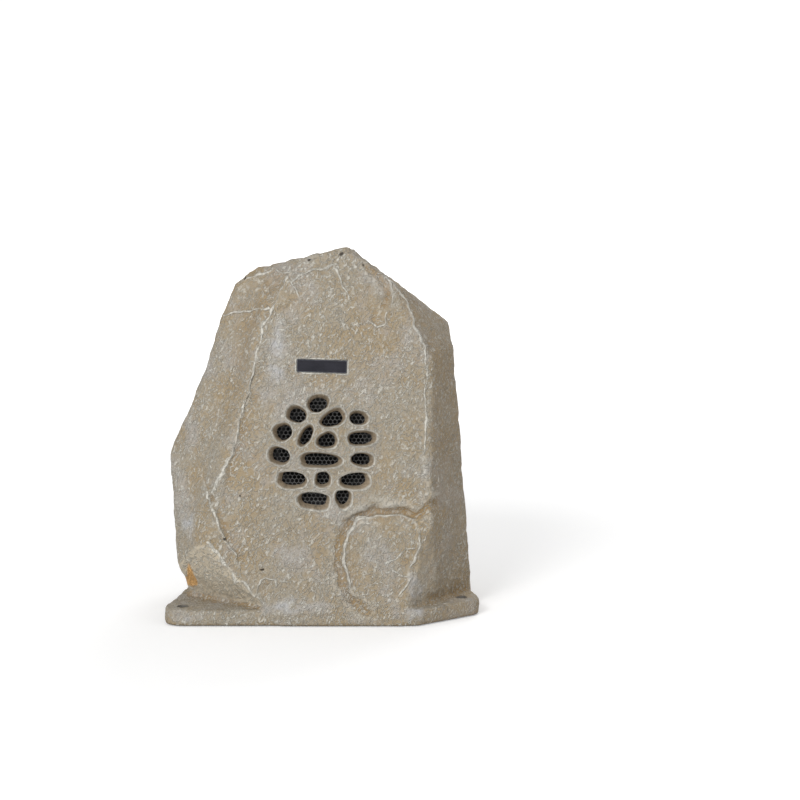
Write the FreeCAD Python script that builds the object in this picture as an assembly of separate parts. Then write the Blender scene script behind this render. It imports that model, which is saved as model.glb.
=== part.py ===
import FreeCAD, Part
import math
import os
from FreeCAD import Placement, Rotation, Vector

os.makedirs("parts", exist_ok=True)

# A rock-shaped garden speaker: a cast shell with a pierced grille, a driver behind it and a line
# transformer below.
# Millimetres, +Z up, the grille faces -Y, the shell stands on z = 0.

# The rock: its core point and facets, each with its azimuth (0 faces the front, + turns to the
# right as the front is seen), upward lean in degrees and reach from the core in millimetres
CORE_HEIGHT = 180.0
PANEL_LEAN = 8.0
PANEL_REACH = 113.4
FACETS = {
    "front_panel": (0.0, PANEL_LEAN, PANEL_REACH),
    "left_front": (-52.0, 15.5, 145.9),
    "left_side": (-94.0, 21.0, 150.9),
    "left_low": (-96.0, -6.5, 161.2),
    "left_corner": (-62.0, 3.0, 166.9),
    "left_shoulder": (-42.0, 36.0, 185.2),
    "top_left": (-132.0, 73.0, 201.8),
    "top_right": (100.0, 52.0, 192.0),
    "right_front": (62.0, 3.0, 159.6),
    "right_side": (94.0, 4.5, 149.6),
    "right_shoulder": (80.0, 36.0, 189.8),
    "right_chip": (52.0, 28.0, 190.0),
    "back": (180.0, 8.0, 104.0),
    "back_left": (-138.0, 5.0, 140.1),
    "back_right": (138.0, 7.0, 134.0),
    "back_slope": (172.0, 45.0, 168.0),
}
RIDGE_ROUNDING = 10.0
SHELL_WALL = 8.0

# Chips: corners broken off after the ridges were worn round, as facets above the flange. Two of them lean
# back over the front lugs
CHIPS = {
    "front_left_foot": (-42.7, -25.9, 197.1),
    "front_right_foot": (56.5, -7.5, 173.5),
    "top_left_corner": (-104.2, 51.0, 194.0),
}

# Dells: broad troughs worn into a facet, each with the facet, two places on it (across, up), depth and radius
DELLS = {
    "left_dell": ("left_front", (-88.0, 322.0), (-138.0, 157.0), 4.5, 60.0),
    "back_dell": ("back", (60.0, 251.0), (-100.0, 124.0), 4.5, 150.0),
}

# Screw-down lugs: place of each hole and radius of the room kept round it, in order round the base; the
# rear rooms are scooped out of the rock. The flange has one more corner, without a hole, flush with the front
LUGS = {
    "front_left": (-154.0, -118.0, 60.0),
    "front_right": (154.0, -70.0, 20.0),
    "rear_right": (104.0, 120.0, 34.0),
    "rear_left": (-109.0, 120.0, 32.0),
}
FRONT_CORNER = (98.0, -118.0)
LUG_RADIUS = 20.0
LUG_THICKNESS = 18.0
LUG_ROUNDING = 4.0
LUG_HOLE_RADIUS = 3.5
SCOOP_RISE = 14.0

# Boulder that swells from the lower right of the front, with the groove round its upper left
BOULDER_AT = (68.0, -120.0)
BOULDER_HALF = (48.0, 42.0)
BOULDER_EGG = 0.15
BOULDER_SQUARENESS = 2.7
BOULDER_PROUD = 3.0
GROOVE_SHIFT = (-6.0, 7.0)
GROOVE_WIDTH = 9.0
GROOVE_DEPTH = 6.0
BOULDER_TURN = -90.0
BOULDER_FLARE = 0.33
BOULDER_DRAFT = 0.5

# Grille: sixteen hand-formed openings, each with its place on the panel, half length, half width, tilt
# in degrees, egg shape (+ narrows the far end) and squareness (2 is an ellipse)
GRILLE_HEIGHT = 191.0
GRILLE_DEPTH = 14.0
OPENINGS = (
    (-4.0, 54.0, 12.6, 9.6, 20, 0.10, 2.2),
    (-28.0, 41.5, 11.6, 9.4, -15, 0.10, 2.2),
    (11.5, 37.0, 14.8, 9.0, 24, -0.25, 2.2),
    (41.0, 37.5, 10.6, 7.8, -8, 0.10, 2.2),
    (-43.5, 22.0, 10.6, 9.8, 30, 0.10, 2.3),
    (-18.0, 18.0, 13.4, 6.4, 62, 0.05, 2.2),
    (5.0, 12.5, 11.8, 9.0, 18, -0.22, 2.2),
    (44.5, 15.0, 16.0, 8.2, 2, 0.05, 2.6),
    (-47.5, -4.5, 12.2, 9.6, -18, 0.05, 2.3),
    (-0.5, -9.5, 23.6, 8.4, -2, 0.20, 2.6),
    (44.5, -9.0, 12.8, 7.8, -4, -0.10, 2.3),
    (-33.0, -31.5, 16.4, 9.2, -4, 0.08, 2.5),
    (1.0, -31.0, 8.8, 8.8, 0, 0.0, 2.3),
    (36.0, -32.5, 17.0, 9.0, 4, -0.15, 2.5),
    (-9.5, -54.5, 18.0, 9.2, -6, -0.08, 2.8),
    (23.5, -53.0, 10.4, 8.8, -90, 0.30, 2.3),
)
OPENING_TAPER = 0.78
OPENING_CONVERGE = 0.95
OUTLINE_POINTS = 14

# Name plate let into the panel above the grille
PLATE_AT = (0.0, 94.0)
PLATE_SIZE = (55.0, 14.0)
PLATE_TILT = -1.8
PLATE_THICKNESS = 2.4
PLATE_RECESS = 2.0
PLATE_GAP = 0.3

# Perforated sheet, gasket and driver, stacked inwards from the back of the grille
SHEET_THICKNESS = 1.0
PERFORATION_PITCH = 11.0
PERFORATION_FLATS = 8.4
PERFORATION_TURN = 30.0
PERFORATION_MARGIN = 1.0
GASKET_THICKNESS = 5.0
LAND_MARGIN = 8.0
DRIVER_RADIUS = 83.0
DRIVER_SCREW_INSET = 5.0
DRIVER_SCREWS = 4
DRIVER_SCREW_FIRST = 0.0
BASKET_SHEET = 1.4
BASKET_FLANGE = 11.0
BASKET_STEP = 5.0
BASKET_SEAT = 10.0
BASKET_FOOT_RADIUS = 40.0
BASKET_DEPTH = 36.0
BASKET_THROAT_RADIUS = 22.0
BASKET_WINDOWS = 6
WINDOW_ANGLE = 40.0
WINDOW_MARGIN = 6.0
SURROUND_SHEET = 0.8
ROLL_RADIUS = 5.0
LIP_WIDTH = 5.0
LIP_DROP = 2.2
GLUE_LINE = 0.2
CONE_SHEET = 0.8
CONE_DEPTH = 22.6
CAP_RADIUS = 20.0
CAP_RISE = 6.0
FORMER_RADIUS = 13.2
FORMER_SHEET = 0.3
WINDING_SHEET = 0.6
WINDING_LENGTH = 10.0
COIL_GAP = 0.8
SPIDER_SHEET = 0.6
SPIDER_WAVES = 3
SPIDER_WAVE = 1.0
SPIDER_RISE = 3.2
TOP_PLATE_RADIUS = 42.0
TOP_PLATE_THICKNESS = 5.0
MAGNET_RADIUS = 45.0
MAGNET_BORE_RADIUS = 22.0
MAGNET_THICKNESS = 14.0
POLE_VENT_RADIUS = 4.0
TAG_BOARD = (22.0, 11.0, 1.6)
TAG_SIZE = (5.0, 14.0, 0.8)

# Base: the cover sits in a rebate of the rim and is screwed up to a ledge
RIM_WALL = 10.0
LEDGE_WIDTH = 16.0
LEDGE_THICKNESS = 12.0
COVER_RECESS = 6.0
COVER_THICKNESS = 5.0
COVER_GAP = 0.8
SEAL_THICKNESS = 2.0
BASE_SCREW_ANGLES = (12.0, 90.0, 172.0, 245.0, 278.0, 310.0)

# Cable notch through the rim, its rubber inlet and the slot behind it in the cover
NOTCH_Y = 50.0
NOTCH_WIDTH = 15.0
CABLE_RADIUS = 3.5
INLET_LIP = 2.0
INLET_GAP = 0.2
SLOT_GAP = 1.0
SLOT_LENGTH = 45.0

# Screws: shank radius, head radius and head height
SCREW_RADIUS = 2.0
HEAD_RADIUS = 3.8
HEAD_HEIGHT = 2.6
HEAD_CROWN = 1.0
SCREW_BITE = 9.0
SCREW_GAP = 0.05
SCREW_CLEARANCE = 0.4

# Line transformer on the cover: laminated core, bobbin, winding and strap
TRANSFORMER_AT = (38.0, 36.0)
CENTRE_LEG = 19.0
STACK = 20.0
BOBBIN_WALL = 1.0
BOBBIN_GAP = 0.3
WINDING_INSET = 0.6
STRAP_SHEET = 1.2
STRAP_FOOT = 14.0

# Terminal block beside the cable inlet
BLOCK_AT = (-62.0, 28.0)
BLOCK_WAYS = 3
BLOCK_PITCH = 10.0
BLOCK_WIDTH = 18.0
BLOCK_HEIGHT = 14.0
INSERT_RADIUS = 3.0
INSERT_BORE_RADIUS = 1.8
WELL_RADIUS = 2.2
WELL_SPREAD = 9.0
BLOCK_CHAMFER = 2.2

# Inner lead from the transformer to the driver's tags
LEAD_RADIUS = 1.5
LEAD_BEND = 12.0
LEAD_RISE = 26.0
LEAD_TAIL = 24.0
LEAD_BELOW_FLANGE = 4.0

# Block the rock is cut from, and a size that reaches past everything
BLANK = 500.0
SPACE = 1600.0

# Heights and depths that follow
PERFORATION_HALF = PERFORATION_FLATS / math.sqrt(3)
LAND_RADIUS = DRIVER_RADIUS + LAND_MARGIN
DRIVER_SCREW_CIRCLE = DRIVER_RADIUS - DRIVER_SCREW_INSET
BASKET_STEP_RADIUS = DRIVER_RADIUS - BASKET_FLANGE
BASKET_MOUTH_RADIUS = BASKET_STEP_RADIUS - BASKET_SEAT
PERFORATION_RADIUS = BASKET_MOUTH_RADIUS - PERFORATION_MARGIN
COVER_TOP = COVER_RECESS + COVER_THICKNESS
LEDGE_SEAT = COVER_TOP + SEAL_THICKNESS
LEDGE_TOP = LEDGE_SEAT + LEDGE_THICKNESS
LEDGE_INSET = RIM_WALL + LEDGE_WIDTH
PILOT_RADIUS = SCREW_RADIUS + SCREW_GAP
CLEAR_RADIUS = SCREW_RADIUS + SCREW_CLEARANCE
SHEET_BACK = SHEET_THICKNESS
FLANGE_FRONT = SHEET_BACK + GASKET_THICKNESS
FLANGE_BACK = FLANGE_FRONT + BASKET_SHEET
SEAT = FLANGE_FRONT + BASKET_STEP
BASKET_FLOOR = FLANGE_FRONT + BASKET_DEPTH
BASKET_BACK = BASKET_FLOOR + BASKET_SHEET
TOP_PLATE_BACK = BASKET_BACK + TOP_PLATE_THICKNESS
MAGNET_BACK = TOP_PLATE_BACK + MAGNET_THICKNESS
POLE_PLATE_BACK = MAGNET_BACK + TOP_PLATE_THICKNESS


def panel_point(height):
    """Where the panel's outer face stands at a height on the middle line."""
    lean = math.radians(PANEL_LEAN)
    depth = (math.sin(lean) * (height - CORE_HEIGHT) - PANEL_REACH) / math.cos(lean)
    return Vector(0, depth, height)


# Panel frame: x to the right, y up the panel, z outwards, from the grille's middle on the outer face
PANEL = Placement(panel_point(GRILLE_HEIGHT), Rotation(Vector(1, 0, 0), 90 - PANEL_LEAN))
# Driver frame: the same, from the back of the grille, so that depth d lies at z = -d
DRIVER = PANEL.multiply(Placement(Vector(0, 0, -GRILLE_DEPTH), Rotation()))


def placed(shape, frame):
    """A copy of a shape, carried from a local frame into the part's own."""
    copy = shape.copy()
    copy.Placement = frame.multiply(copy.Placement)
    return copy


def save(name, *solids):
    shape = solids[0] if len(solids) == 1 else Part.makeCompound(list(solids))
    shape.exportStep("parts/" + name + ".step")
    print(name, len(shape.Solids), "solids", round(shape.Volume), "mm3", shape.isValid())


def facet_normal(azimuth, lean):
    turn = math.radians(azimuth)
    tilt = math.radians(lean)
    return Vector(math.cos(tilt) * math.sin(turn), -math.cos(tilt) * math.cos(turn), math.sin(tilt))


def beyond_facet(azimuth, lean, reach):
    """A block that fills the space outside one facet."""
    block = Part.makeBox(SPACE, SPACE, SPACE, Vector(-SPACE / 2, -SPACE / 2, reach))
    turn = Rotation(Vector(0, 0, 1), azimuth).multiply(Rotation(Vector(1, 0, 0), 90 - lean))
    block.Placement = Placement(Vector(0, 0, CORE_HEIGHT), turn)
    return block


def slab(low, high):
    return Part.makeBox(SPACE, SPACE, high - low, Vector(-SPACE / 2, -SPACE / 2, low))


def chips(grown):
    """What the chips take off, which leaves the flange whole."""
    above = slab(LUG_THICKNESS, SPACE)
    return [beyond_facet(turn, lean, reach - grown).common(above) for turn, lean, reach in CHIPS.values()]


def on_facet(facet, x, z):
    """The point of a facet at a place across and a height."""
    azimuth, lean, reach = FACETS[facet]
    normal = facet_normal(azimuth, lean)
    y = (reach - normal.x * x - normal.z * (z - CORE_HEIGHT)) / normal.y
    return Vector(x, y, z)


def dells(grown):
    """Long cylinders that lie in a facet as deep as the trough they leave."""
    troughs = []
    for facet, start, end, depth, radius in DELLS.values():
        away = facet_normal(*FACETS[facet][:2]) * (radius - depth)
        first = on_facet(facet, *start) + away
        along = on_facet(facet, *end) + away - first
        along.normalize()
        troughs.append(Part.makeCylinder(radius + grown, 2 * BLANK, first - along * BLANK, along))
    return troughs


def scoops(grown):
    """Balls that hollow the rock above each lug."""
    high = LUG_THICKNESS + SCOOP_RISE
    return [Part.makeSphere(radius + grown, Vector(x, y, high)) for x, y, radius in LUGS.values()]


def faceted(inset):
    """The rock's facets closed round the core, all moved inwards by inset."""
    body = Part.makeBox(BLANK, BLANK, BLANK, Vector(-BLANK / 2, -BLANK / 2, 0))
    for azimuth, lean, reach in FACETS.values():
        body = body.cut(beyond_facet(azimuth, lean, reach - inset))
    return body


def hollow(inset, low, high):
    """The space at a distance inside the rock's outer faces, between two heights."""
    return faceted(inset).cut(scoops(inset)).common(slab(low, high))


def outline(half_length, half_width, tilt, egg, squareness):
    """A closed hand-formed outline about the origin, from a softened superellipse."""
    turn = math.radians(tilt)
    points = []
    for step in range(OUTLINE_POINTS):
        angle = 2 * math.pi * step / OUTLINE_POINTS
        c = math.cos(angle)
        s = math.sin(angle)
        u = half_length * math.copysign(abs(c) ** (2 / squareness), c)
        v = half_width * math.copysign(abs(s) ** (2 / squareness), s) * (1 - egg * c)
        points.append((u * math.cos(turn) - v * math.sin(turn), u * math.sin(turn) + v * math.cos(turn)))
    return points


def closed_curve(points, scale, x, y, z):
    curve = Part.BSplineCurve()
    curve.interpolate([Vector(x + scale * u, y + scale * v, z) for u, v in points], PeriodicFlag=True)
    return Part.Wire([curve.toShape()])


def opening_cutter(x, y, points):
    """A tapered plug that leaves one grille opening, wider in front and drawn in towards the middle."""
    over = 1.0
    wires = []
    for z in (over, -GRILLE_DEPTH - over):
        share = -z / GRILLE_DEPTH
        scale = 1 + share * (OPENING_TAPER - 1)
        drawn = 1 + share * (OPENING_CONVERGE - 1)
        wires.append(closed_curve(points, scale, x * drawn, y * drawn, z))
    return placed(Part.makeLoft(wires, True, True), PANEL)


def boulder_shapes():
    """The boulder, the groove cut round it and the thickening behind the groove."""
    x, y = BOULDER_AT
    points = outline(*BOULDER_HALF, BOULDER_TURN, BOULDER_EGG, BOULDER_SQUARENESS)
    half = min(BOULDER_HALF)
    foot = closed_curve(points, 1 + BOULDER_FLARE * GROOVE_WIDTH / half, x, y, -GROOVE_DEPTH - 1)
    face = closed_curve(points, 1 - BOULDER_DRAFT * GROOVE_WIDTH / half, x, y, BOULDER_PROUD)
    boulder = Part.makeLoft([foot, face], True, True)
    gx, gy = x + GROOVE_SHIFT[0], y + GROOVE_SHIFT[1]
    wide = closed_curve(points, 1 + GROOVE_WIDTH / half, gx, gy, -GROOVE_DEPTH)
    groove = Part.Face(wide).extrude(Vector(0, 0, GROOVE_DEPTH + BOULDER_PROUD))
    wider = 1 + (GROOVE_WIDTH + SHELL_WALL) / half
    behind = closed_curve(points, wider, gx, gy, -GROOVE_DEPTH - SHELL_WALL)
    backing = Part.Face(behind).extrude(Vector(0, 0, GROOVE_DEPTH))
    return [placed(shape, PANEL) for shape in (boulder, groove, backing)]


def rounded_rock():
    body = faceted(0)
    ridges = [edge for edge in body.Edges if edge.BoundBox.ZMax > LUG_THICKNESS]
    return body.makeFillet(RIDGE_ROUNDING, ridges)


def flange_block(grown):
    """The flange under all the lugs, rounded about each corner."""
    first, *others = [Vector(x, y, 0) for x, y, _ in LUGS.values()]
    corners = [first, Vector(*FRONT_CORNER, 0), *others]
    plan = Part.Face(Part.makePolygon(corners + corners[:1])).makeOffset2D(LUG_RADIUS + grown)
    return plan.extrude(Vector(0, 0, LUG_THICKNESS))


def lug_flange():
    flange = flange_block(0)
    top = [edge for edge in flange.Edges if edge.BoundBox.ZMin > LUG_THICKNESS - 0.01]
    return flange.makeFillet(LUG_ROUNDING, top)


def rim_point(angle, height, inset):
    """The point in one direction from the middle that lies inset inside the facets."""
    aim = Vector(math.cos(math.radians(angle)), math.sin(math.radians(angle)), 0)
    reaches = []
    for azimuth, lean, reach in FACETS.values():
        normal = facet_normal(azimuth, lean)
        if normal.dot(aim) > 0:
            reaches.append((reach - inset - normal.z * (height - CORE_HEIGHT)) / normal.dot(aim))
    return Vector(aim.x * min(reaches), aim.y * min(reaches), height)


def notch_cutter(gap, lip, start, end):
    """The arched section of the cable notch, run along X between two places."""
    half = NOTCH_WIDTH / 2 - gap + lip
    top = COVER_TOP - gap + lip
    spring = top - half
    low = Vector(start, NOTCH_Y - half, -1 if gap == 0 else 0)
    points = [low, Vector(start, NOTCH_Y - half, spring)]
    arch = Part.Arc(points[1], Vector(start, NOTCH_Y, top), Vector(start, NOTCH_Y + half, spring))
    far = Vector(start, NOTCH_Y + half, low.z)
    sides = [Part.makeLine(points[0], points[1]), arch.toShape(), Part.makeLine(arch.EndPoint, far)]
    face = Part.Face(Part.Wire(sides + [Part.makeLine(far, low)]))
    return face.extrude(Vector(end - start, 0, 0))


def spots_on_circle(radius, count, first):
    turns = [math.radians(first + 360 * k / count) for k in range(count)]
    return [Vector(radius * math.cos(t), radius * math.sin(t), 0) for t in turns]


def pan_screw(length):
    """A screw with its head below z = 0 and its shank along +Z, tapered to a point."""
    profile = [(0, -HEAD_HEIGHT), (HEAD_RADIUS - HEAD_CROWN, -HEAD_HEIGHT)]
    profile += [(HEAD_RADIUS, HEAD_CROWN - HEAD_HEIGHT), (HEAD_RADIUS, 0)]
    profile += [(SCREW_RADIUS, 0), (SCREW_RADIUS, length - SCREW_RADIUS), (0, length)]
    return turned(profile)


def turned(profile):
    """A solid of revolution about Z from (radius, height) corners."""
    points = [Vector(r, 0, z) for r, z in profile]
    face = Part.Face(Part.makePolygon(points + points[:1]))
    return face.revolve(Vector(0, 0, 0), Vector(0, 0, 1), 360)


def driver_turned(profile):
    """A turned piece of the driver from (radius, depth) corners, in its place."""
    return placed(turned([(r, -d) for r, d in profile]), DRIVER)


def tube(outer, inner, front, back):
    return driver_turned([(inner, front), (outer, front), (outer, back), (inner, back)])


def driver_holes(radius, front, back):
    spots = spots_on_circle(DRIVER_SCREW_CIRCLE, DRIVER_SCREWS, DRIVER_SCREW_FIRST)
    drills = [Part.makeCylinder(radius, back - front, s - Vector(0, 0, back)) for s in spots]
    return [placed(drill, DRIVER) for drill in drills]


BASE_SPOTS = [rim_point(a, 0, RIM_WALL + LEDGE_WIDTH / 2) for a in BASE_SCREW_ANGLES]


def base_holes(radius, low, high):
    return [Part.makeCylinder(radius, high - low, spot + Vector(0, 0, low)) for spot in BASE_SPOTS]


# Rock shell
def rock_shell():
    rear_rooms = [ball.common(slab(LUG_THICKNESS, SPACE)) for ball in scoops(0)[2:]]
    boulder, groove, backing = boulder_shapes()
    shell = rounded_rock().cut(rear_rooms + chips(0) + dells(0))
    shell = shell.fuse(lug_flange()).cut(groove).fuse(boulder)
    chamber = hollow(SHELL_WALL, LEDGE_TOP, SPACE)
    shell = shell.cut(chamber.cut(chips(SHELL_WALL) + dells(SHELL_WALL)))
    pad = Part.makeCylinder(LAND_RADIUS, GRILLE_DEPTH - SHELL_WALL / 2, Vector(0, 0, -GRILLE_DEPTH))
    shell = shell.fuse([placed(pad, PANEL), backing])
    shell = shell.cut([hollow(LEDGE_INSET, LEDGE_SEAT - 1, LEDGE_TOP), hollow(RIM_WALL, -1, LEDGE_SEAT)])
    shell = shell.cut([opening_cutter(x, y, outline(*form)) for x, y, *form in OPENINGS])
    shell = shell.cut(driver_holes(PILOT_RADIUS, -SCREW_BITE - 1, 0))
    shell = shell.cut(base_holes(PILOT_RADIUS, LEDGE_SEAT, LEDGE_SEAT + SCREW_BITE + 1))
    bolts = [Vector(x, y, -1) for x, y, _ in LUGS.values()]
    shell = shell.cut([Part.makeCylinder(LUG_HOLE_RADIUS, LUG_THICKNESS + 2, spot) for spot in bolts])
    seat = name_plate_block(PLATE_RECESS + 1, PLATE_GAP, -PLATE_RECESS)
    shell = shell.cut([seat, notch_cutter(0, 0, -SPACE / 2, rim_x(0) + SLOT_LENGTH)])
    return shell.removeSplitter()


def name_plate_block(thickness, grown, back):
    length = PLATE_SIZE[0] + 2 * grown
    height = PLATE_SIZE[1] + 2 * grown
    block = Part.makeBox(length, height, thickness, Vector(-length / 2, -height / 2, back))
    spot = Placement(Vector(*PLATE_AT, 0), Rotation(Vector(0, 0, 1), PLATE_TILT))
    return placed(block, PANEL.multiply(spot))


def rim_x(inset):
    """Where the left facet stands at the cable notch, moved inwards by inset."""
    azimuth, lean, reach = FACETS["left_low"]
    normal = facet_normal(azimuth, lean)
    return (reach - inset - normal.y * NOTCH_Y - normal.z * (COVER_TOP / 2 - CORE_HEIGHT)) / normal.x


def flange_x():
    """Where the flange's left side stands at the cable notch."""
    front, rear = [Vector(*LUGS[name][:2], 0) for name in ("front_left", "rear_left")]
    along = (rear - front).normalize()
    foot = front + Vector(-along.y, along.x, 0) * LUG_RADIUS
    return foot.x + along.x / along.y * (NOTCH_Y - foot.y)


save("rock_shell", rock_shell())

# Name plate, left bare
plate = name_plate_block(PLATE_THICKNESS, 0, -PLATE_RECESS)
save("name_plate", plate)


# Perforated sheet behind the openings
def grille_mesh():
    sheet = tube(DRIVER_RADIUS, 0, 0, SHEET_THICKNESS)
    rows = int(PERFORATION_RADIUS / PERFORATION_PITCH) + 2
    hexagon = spots_on_circle(PERFORATION_HALF, 6, PERFORATION_TURN)
    drills = []
    for row in range(-rows, rows + 1):
        for column in range(-2 * rows, 2 * rows + 1):
            x = PERFORATION_PITCH * (column + row / 2)
            y = PERFORATION_PITCH * row * math.sqrt(3) / 2
            if math.hypot(x, y) < PERFORATION_RADIUS - PERFORATION_HALF:
                ring = [corner + Vector(x, y, 1) for corner in hexagon]
                face = Part.Face(Part.makePolygon(ring + ring[:1]))
                drills.append(face.extrude(Vector(0, 0, -SHEET_THICKNESS - 2)))
    pattern = placed(Part.makeCompound(drills), DRIVER)
    return sheet.cut(pattern).cut(driver_holes(CLEAR_RADIUS, -1, FLANGE_FRONT))


save("grille_mesh", grille_mesh())

# Driver: gasket, pressed basket and its screws
gasket = tube(DRIVER_RADIUS, BASKET_STEP_RADIUS, SHEET_BACK, FLANGE_FRONT)
save("driver_gasket", gasket.cut(driver_holes(CLEAR_RADIUS, -1, FLANGE_FRONT + 1)))


def driver_basket():
    step_back = SEAT + BASKET_SHEET
    profile = [
        (DRIVER_RADIUS, FLANGE_FRONT),
        (BASKET_STEP_RADIUS, FLANGE_FRONT),
        (BASKET_STEP_RADIUS, SEAT),
        (BASKET_MOUTH_RADIUS, SEAT),
        (BASKET_FOOT_RADIUS, BASKET_FLOOR),
        (BASKET_THROAT_RADIUS, BASKET_FLOOR),
        (BASKET_THROAT_RADIUS, BASKET_BACK),
        (BASKET_FOOT_RADIUS + BASKET_SHEET, BASKET_BACK),
        (BASKET_MOUTH_RADIUS + BASKET_SHEET, step_back),
        (BASKET_STEP_RADIUS + BASKET_SHEET, step_back),
        (BASKET_STEP_RADIUS + BASKET_SHEET, FLANGE_BACK),
        (DRIVER_RADIUS, FLANGE_BACK),
    ]
    basket = driver_turned(profile).cut(driver_holes(CLEAR_RADIUS, 0, SEAT))
    front = step_back + WINDOW_MARGIN
    back = BASKET_FLOOR - WINDOW_MARGIN
    inner = BASKET_THROAT_RADIUS
    corners = [(inner, front), (DRIVER_RADIUS, front), (DRIVER_RADIUS, back), (inner, back)]
    points = [Vector(r, 0, -d) for r, d in corners]
    sector = Part.Face(Part.makePolygon(points + points[:1]))
    sector = sector.revolve(Vector(0, 0, 0), Vector(0, 0, 1), WINDOW_ANGLE)
    windows = []
    for k in range(BASKET_WINDOWS):
        turn = Rotation(Vector(0, 0, 1), 360 / BASKET_WINDOWS * k - WINDOW_ANGLE / 2)
        windows.append(placed(placed(sector, Placement(Vector(), turn)), DRIVER))
    return basket.cut(windows)


save("driver_basket", driver_basket())


def driver_screws():
    screw = pan_screw(FLANGE_BACK + SCREW_BITE)
    spots = spots_on_circle(DRIVER_SCREW_CIRCLE, DRIVER_SCREWS, DRIVER_SCREW_FIRST)
    frames = [Placement(s - Vector(0, 0, FLANGE_BACK), Rotation()) for s in spots]
    return [placed(screw, DRIVER.multiply(frame)) for frame in frames]


save("driver_screws", *driver_screws())

# Surround: an outer lip glued to the basket's seat, a half roll and an inner lip over the cone's edge
ROLL_OUT = BASKET_MOUTH_RADIUS + SURROUND_SHEET / 2
ROLL_MIDDLE = ROLL_OUT - ROLL_RADIUS
ROLL_IN = ROLL_MIDDLE - ROLL_RADIUS
LIP_FRONT = SEAT + LIP_DROP - SURROUND_SHEET
LIP_BACK = LIP_FRONT + SURROUND_SHEET
CONE_FRONT = LIP_BACK + GLUE_LINE
CONE_RIM = ROLL_IN - SURROUND_SHEET
CONE_SHOULDER = CONE_RIM - LIP_WIDTH
CONE_BACK = CONE_FRONT + CONE_DEPTH


def driver_surround():
    half = SURROUND_SHEET / 2
    base = SEAT - half
    outer = ROLL_RADIUS + half
    inner = ROLL_RADIUS - half
    meet = ROLL_MIDDLE + math.sqrt(outer ** 2 - half ** 2)

    def at(r, d):
        return Vector(r, 0, -d)

    front_start = at(meet, SEAT - SURROUND_SHEET)
    front_roll = Part.Arc(front_start, at(ROLL_MIDDLE, base - outer), at(ROLL_MIDDLE - outer, base))
    back_start = at(ROLL_MIDDLE - inner, base)
    back_roll = Part.Arc(back_start, at(ROLL_MIDDLE, base - inner), at(ROLL_MIDDLE + inner, base))
    rim = BASKET_STEP_RADIUS - GLUE_LINE
    inside = [front_roll.EndPoint, at(ROLL_MIDDLE - outer, LIP_FRONT), at(CONE_SHOULDER, LIP_FRONT)]
    inside += [at(CONE_SHOULDER, LIP_BACK), at(ROLL_MIDDLE - inner, LIP_BACK), back_roll.StartPoint]
    outside = [back_roll.EndPoint, at(ROLL_MIDDLE + inner, SEAT), at(rim, SEAT)]
    outside += [at(rim, SEAT - SURROUND_SHEET), front_roll.StartPoint]
    edges = [front_roll.toShape(), *Part.makePolygon(inside).Edges]
    edges += [back_roll.toShape(), *Part.makePolygon(outside).Edges]
    face = Part.Face(Part.Wire(edges))
    return placed(face.revolve(Vector(0, 0, 0), Vector(0, 0, 1), 360), DRIVER)


save("driver_surround", driver_surround())

# Moving parts: cone, dust cap, voice coil former and its winding
cone = driver_turned([
    (CONE_RIM, CONE_FRONT),
    (CONE_SHOULDER, CONE_FRONT),
    (FORMER_RADIUS, CONE_BACK),
    (FORMER_RADIUS, CONE_BACK + CONE_SHEET),
    (CONE_SHOULDER, CONE_FRONT + CONE_SHEET),
    (CONE_RIM, CONE_FRONT + CONE_SHEET),
])
save("driver_cone", cone)


def dust_cap():
    """A shallow dome whose rim follows the cone's slope, a glue line in front of it."""
    slope = CONE_DEPTH / (CONE_SHOULDER - FORMER_RADIUS)
    foot = GLUE_LINE - CONE_FRONT - CONE_SHOULDER * slope
    radius = (CAP_RADIUS ** 2 + CAP_RISE ** 2) / (2 * CAP_RISE)
    centre = foot + slope * CAP_RADIUS + CAP_RISE - radius

    def dome(r):
        below = foot - centre
        lean = 1 + slope ** 2
        rim = (math.sqrt(lean * (r ** 2 - below ** 2) + (slope * below) ** 2) - slope * below) / lean
        half = math.asin(rim / r) / 2
        middle = Vector(r * math.sin(half), 0, centre + r * math.cos(half))
        return Part.Arc(Vector(0, 0, centre + r), middle, Vector(rim, 0, foot + slope * rim))

    outer = dome(radius)
    inner = dome(radius - CONE_SHEET)
    rim = Part.makeLine(outer.EndPoint, inner.EndPoint)
    crown = Part.makeLine(inner.StartPoint, outer.StartPoint)
    face = Part.Face(Part.Wire([outer.toShape(), rim, inner.toShape(), crown]))
    return placed(face.revolve(Vector(0, 0, 0), Vector(0, 0, 1), 360), DRIVER)


save("driver_dust_cap", dust_cap())
GAP_MIDDLE = BASKET_BACK + TOP_PLATE_THICKNESS / 2
COIL_FRONT = GAP_MIDDLE - WINDING_LENGTH / 2
COIL_BACK = GAP_MIDDLE + WINDING_LENGTH / 2
save("coil_former", tube(FORMER_RADIUS, FORMER_RADIUS - FORMER_SHEET, CONE_BACK, COIL_BACK))
save("coil_winding", tube(FORMER_RADIUS + WINDING_SHEET, FORMER_RADIUS, COIL_FRONT, COIL_BACK))


# Spider: corrugated disc from a foot on the basket's floor to a collar round the former
def driver_spider():
    foot_out = BASKET_FOOT_RADIUS - GLUE_LINE
    foot_in = foot_out - LIP_WIDTH
    collar = FORMER_RADIUS + GLUE_LINE
    steps = 4 * SPIDER_WAVES
    front = [(foot_out, BASKET_FLOOR - SPIDER_SHEET)]
    for k in range(steps + 1):
        share = k / steps
        wave = SPIDER_WAVE * math.sin(2 * math.pi * SPIDER_WAVES * share)
        radius = foot_in + (collar - foot_in) * share
        front.append((radius, BASKET_FLOOR - SPIDER_SHEET - SPIDER_RISE * share - wave * (1 - share)))
    back = [(r, d + SPIDER_SHEET) for r, d in reversed(front)]
    return driver_turned(front + back)


save("driver_spider", driver_spider())

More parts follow.
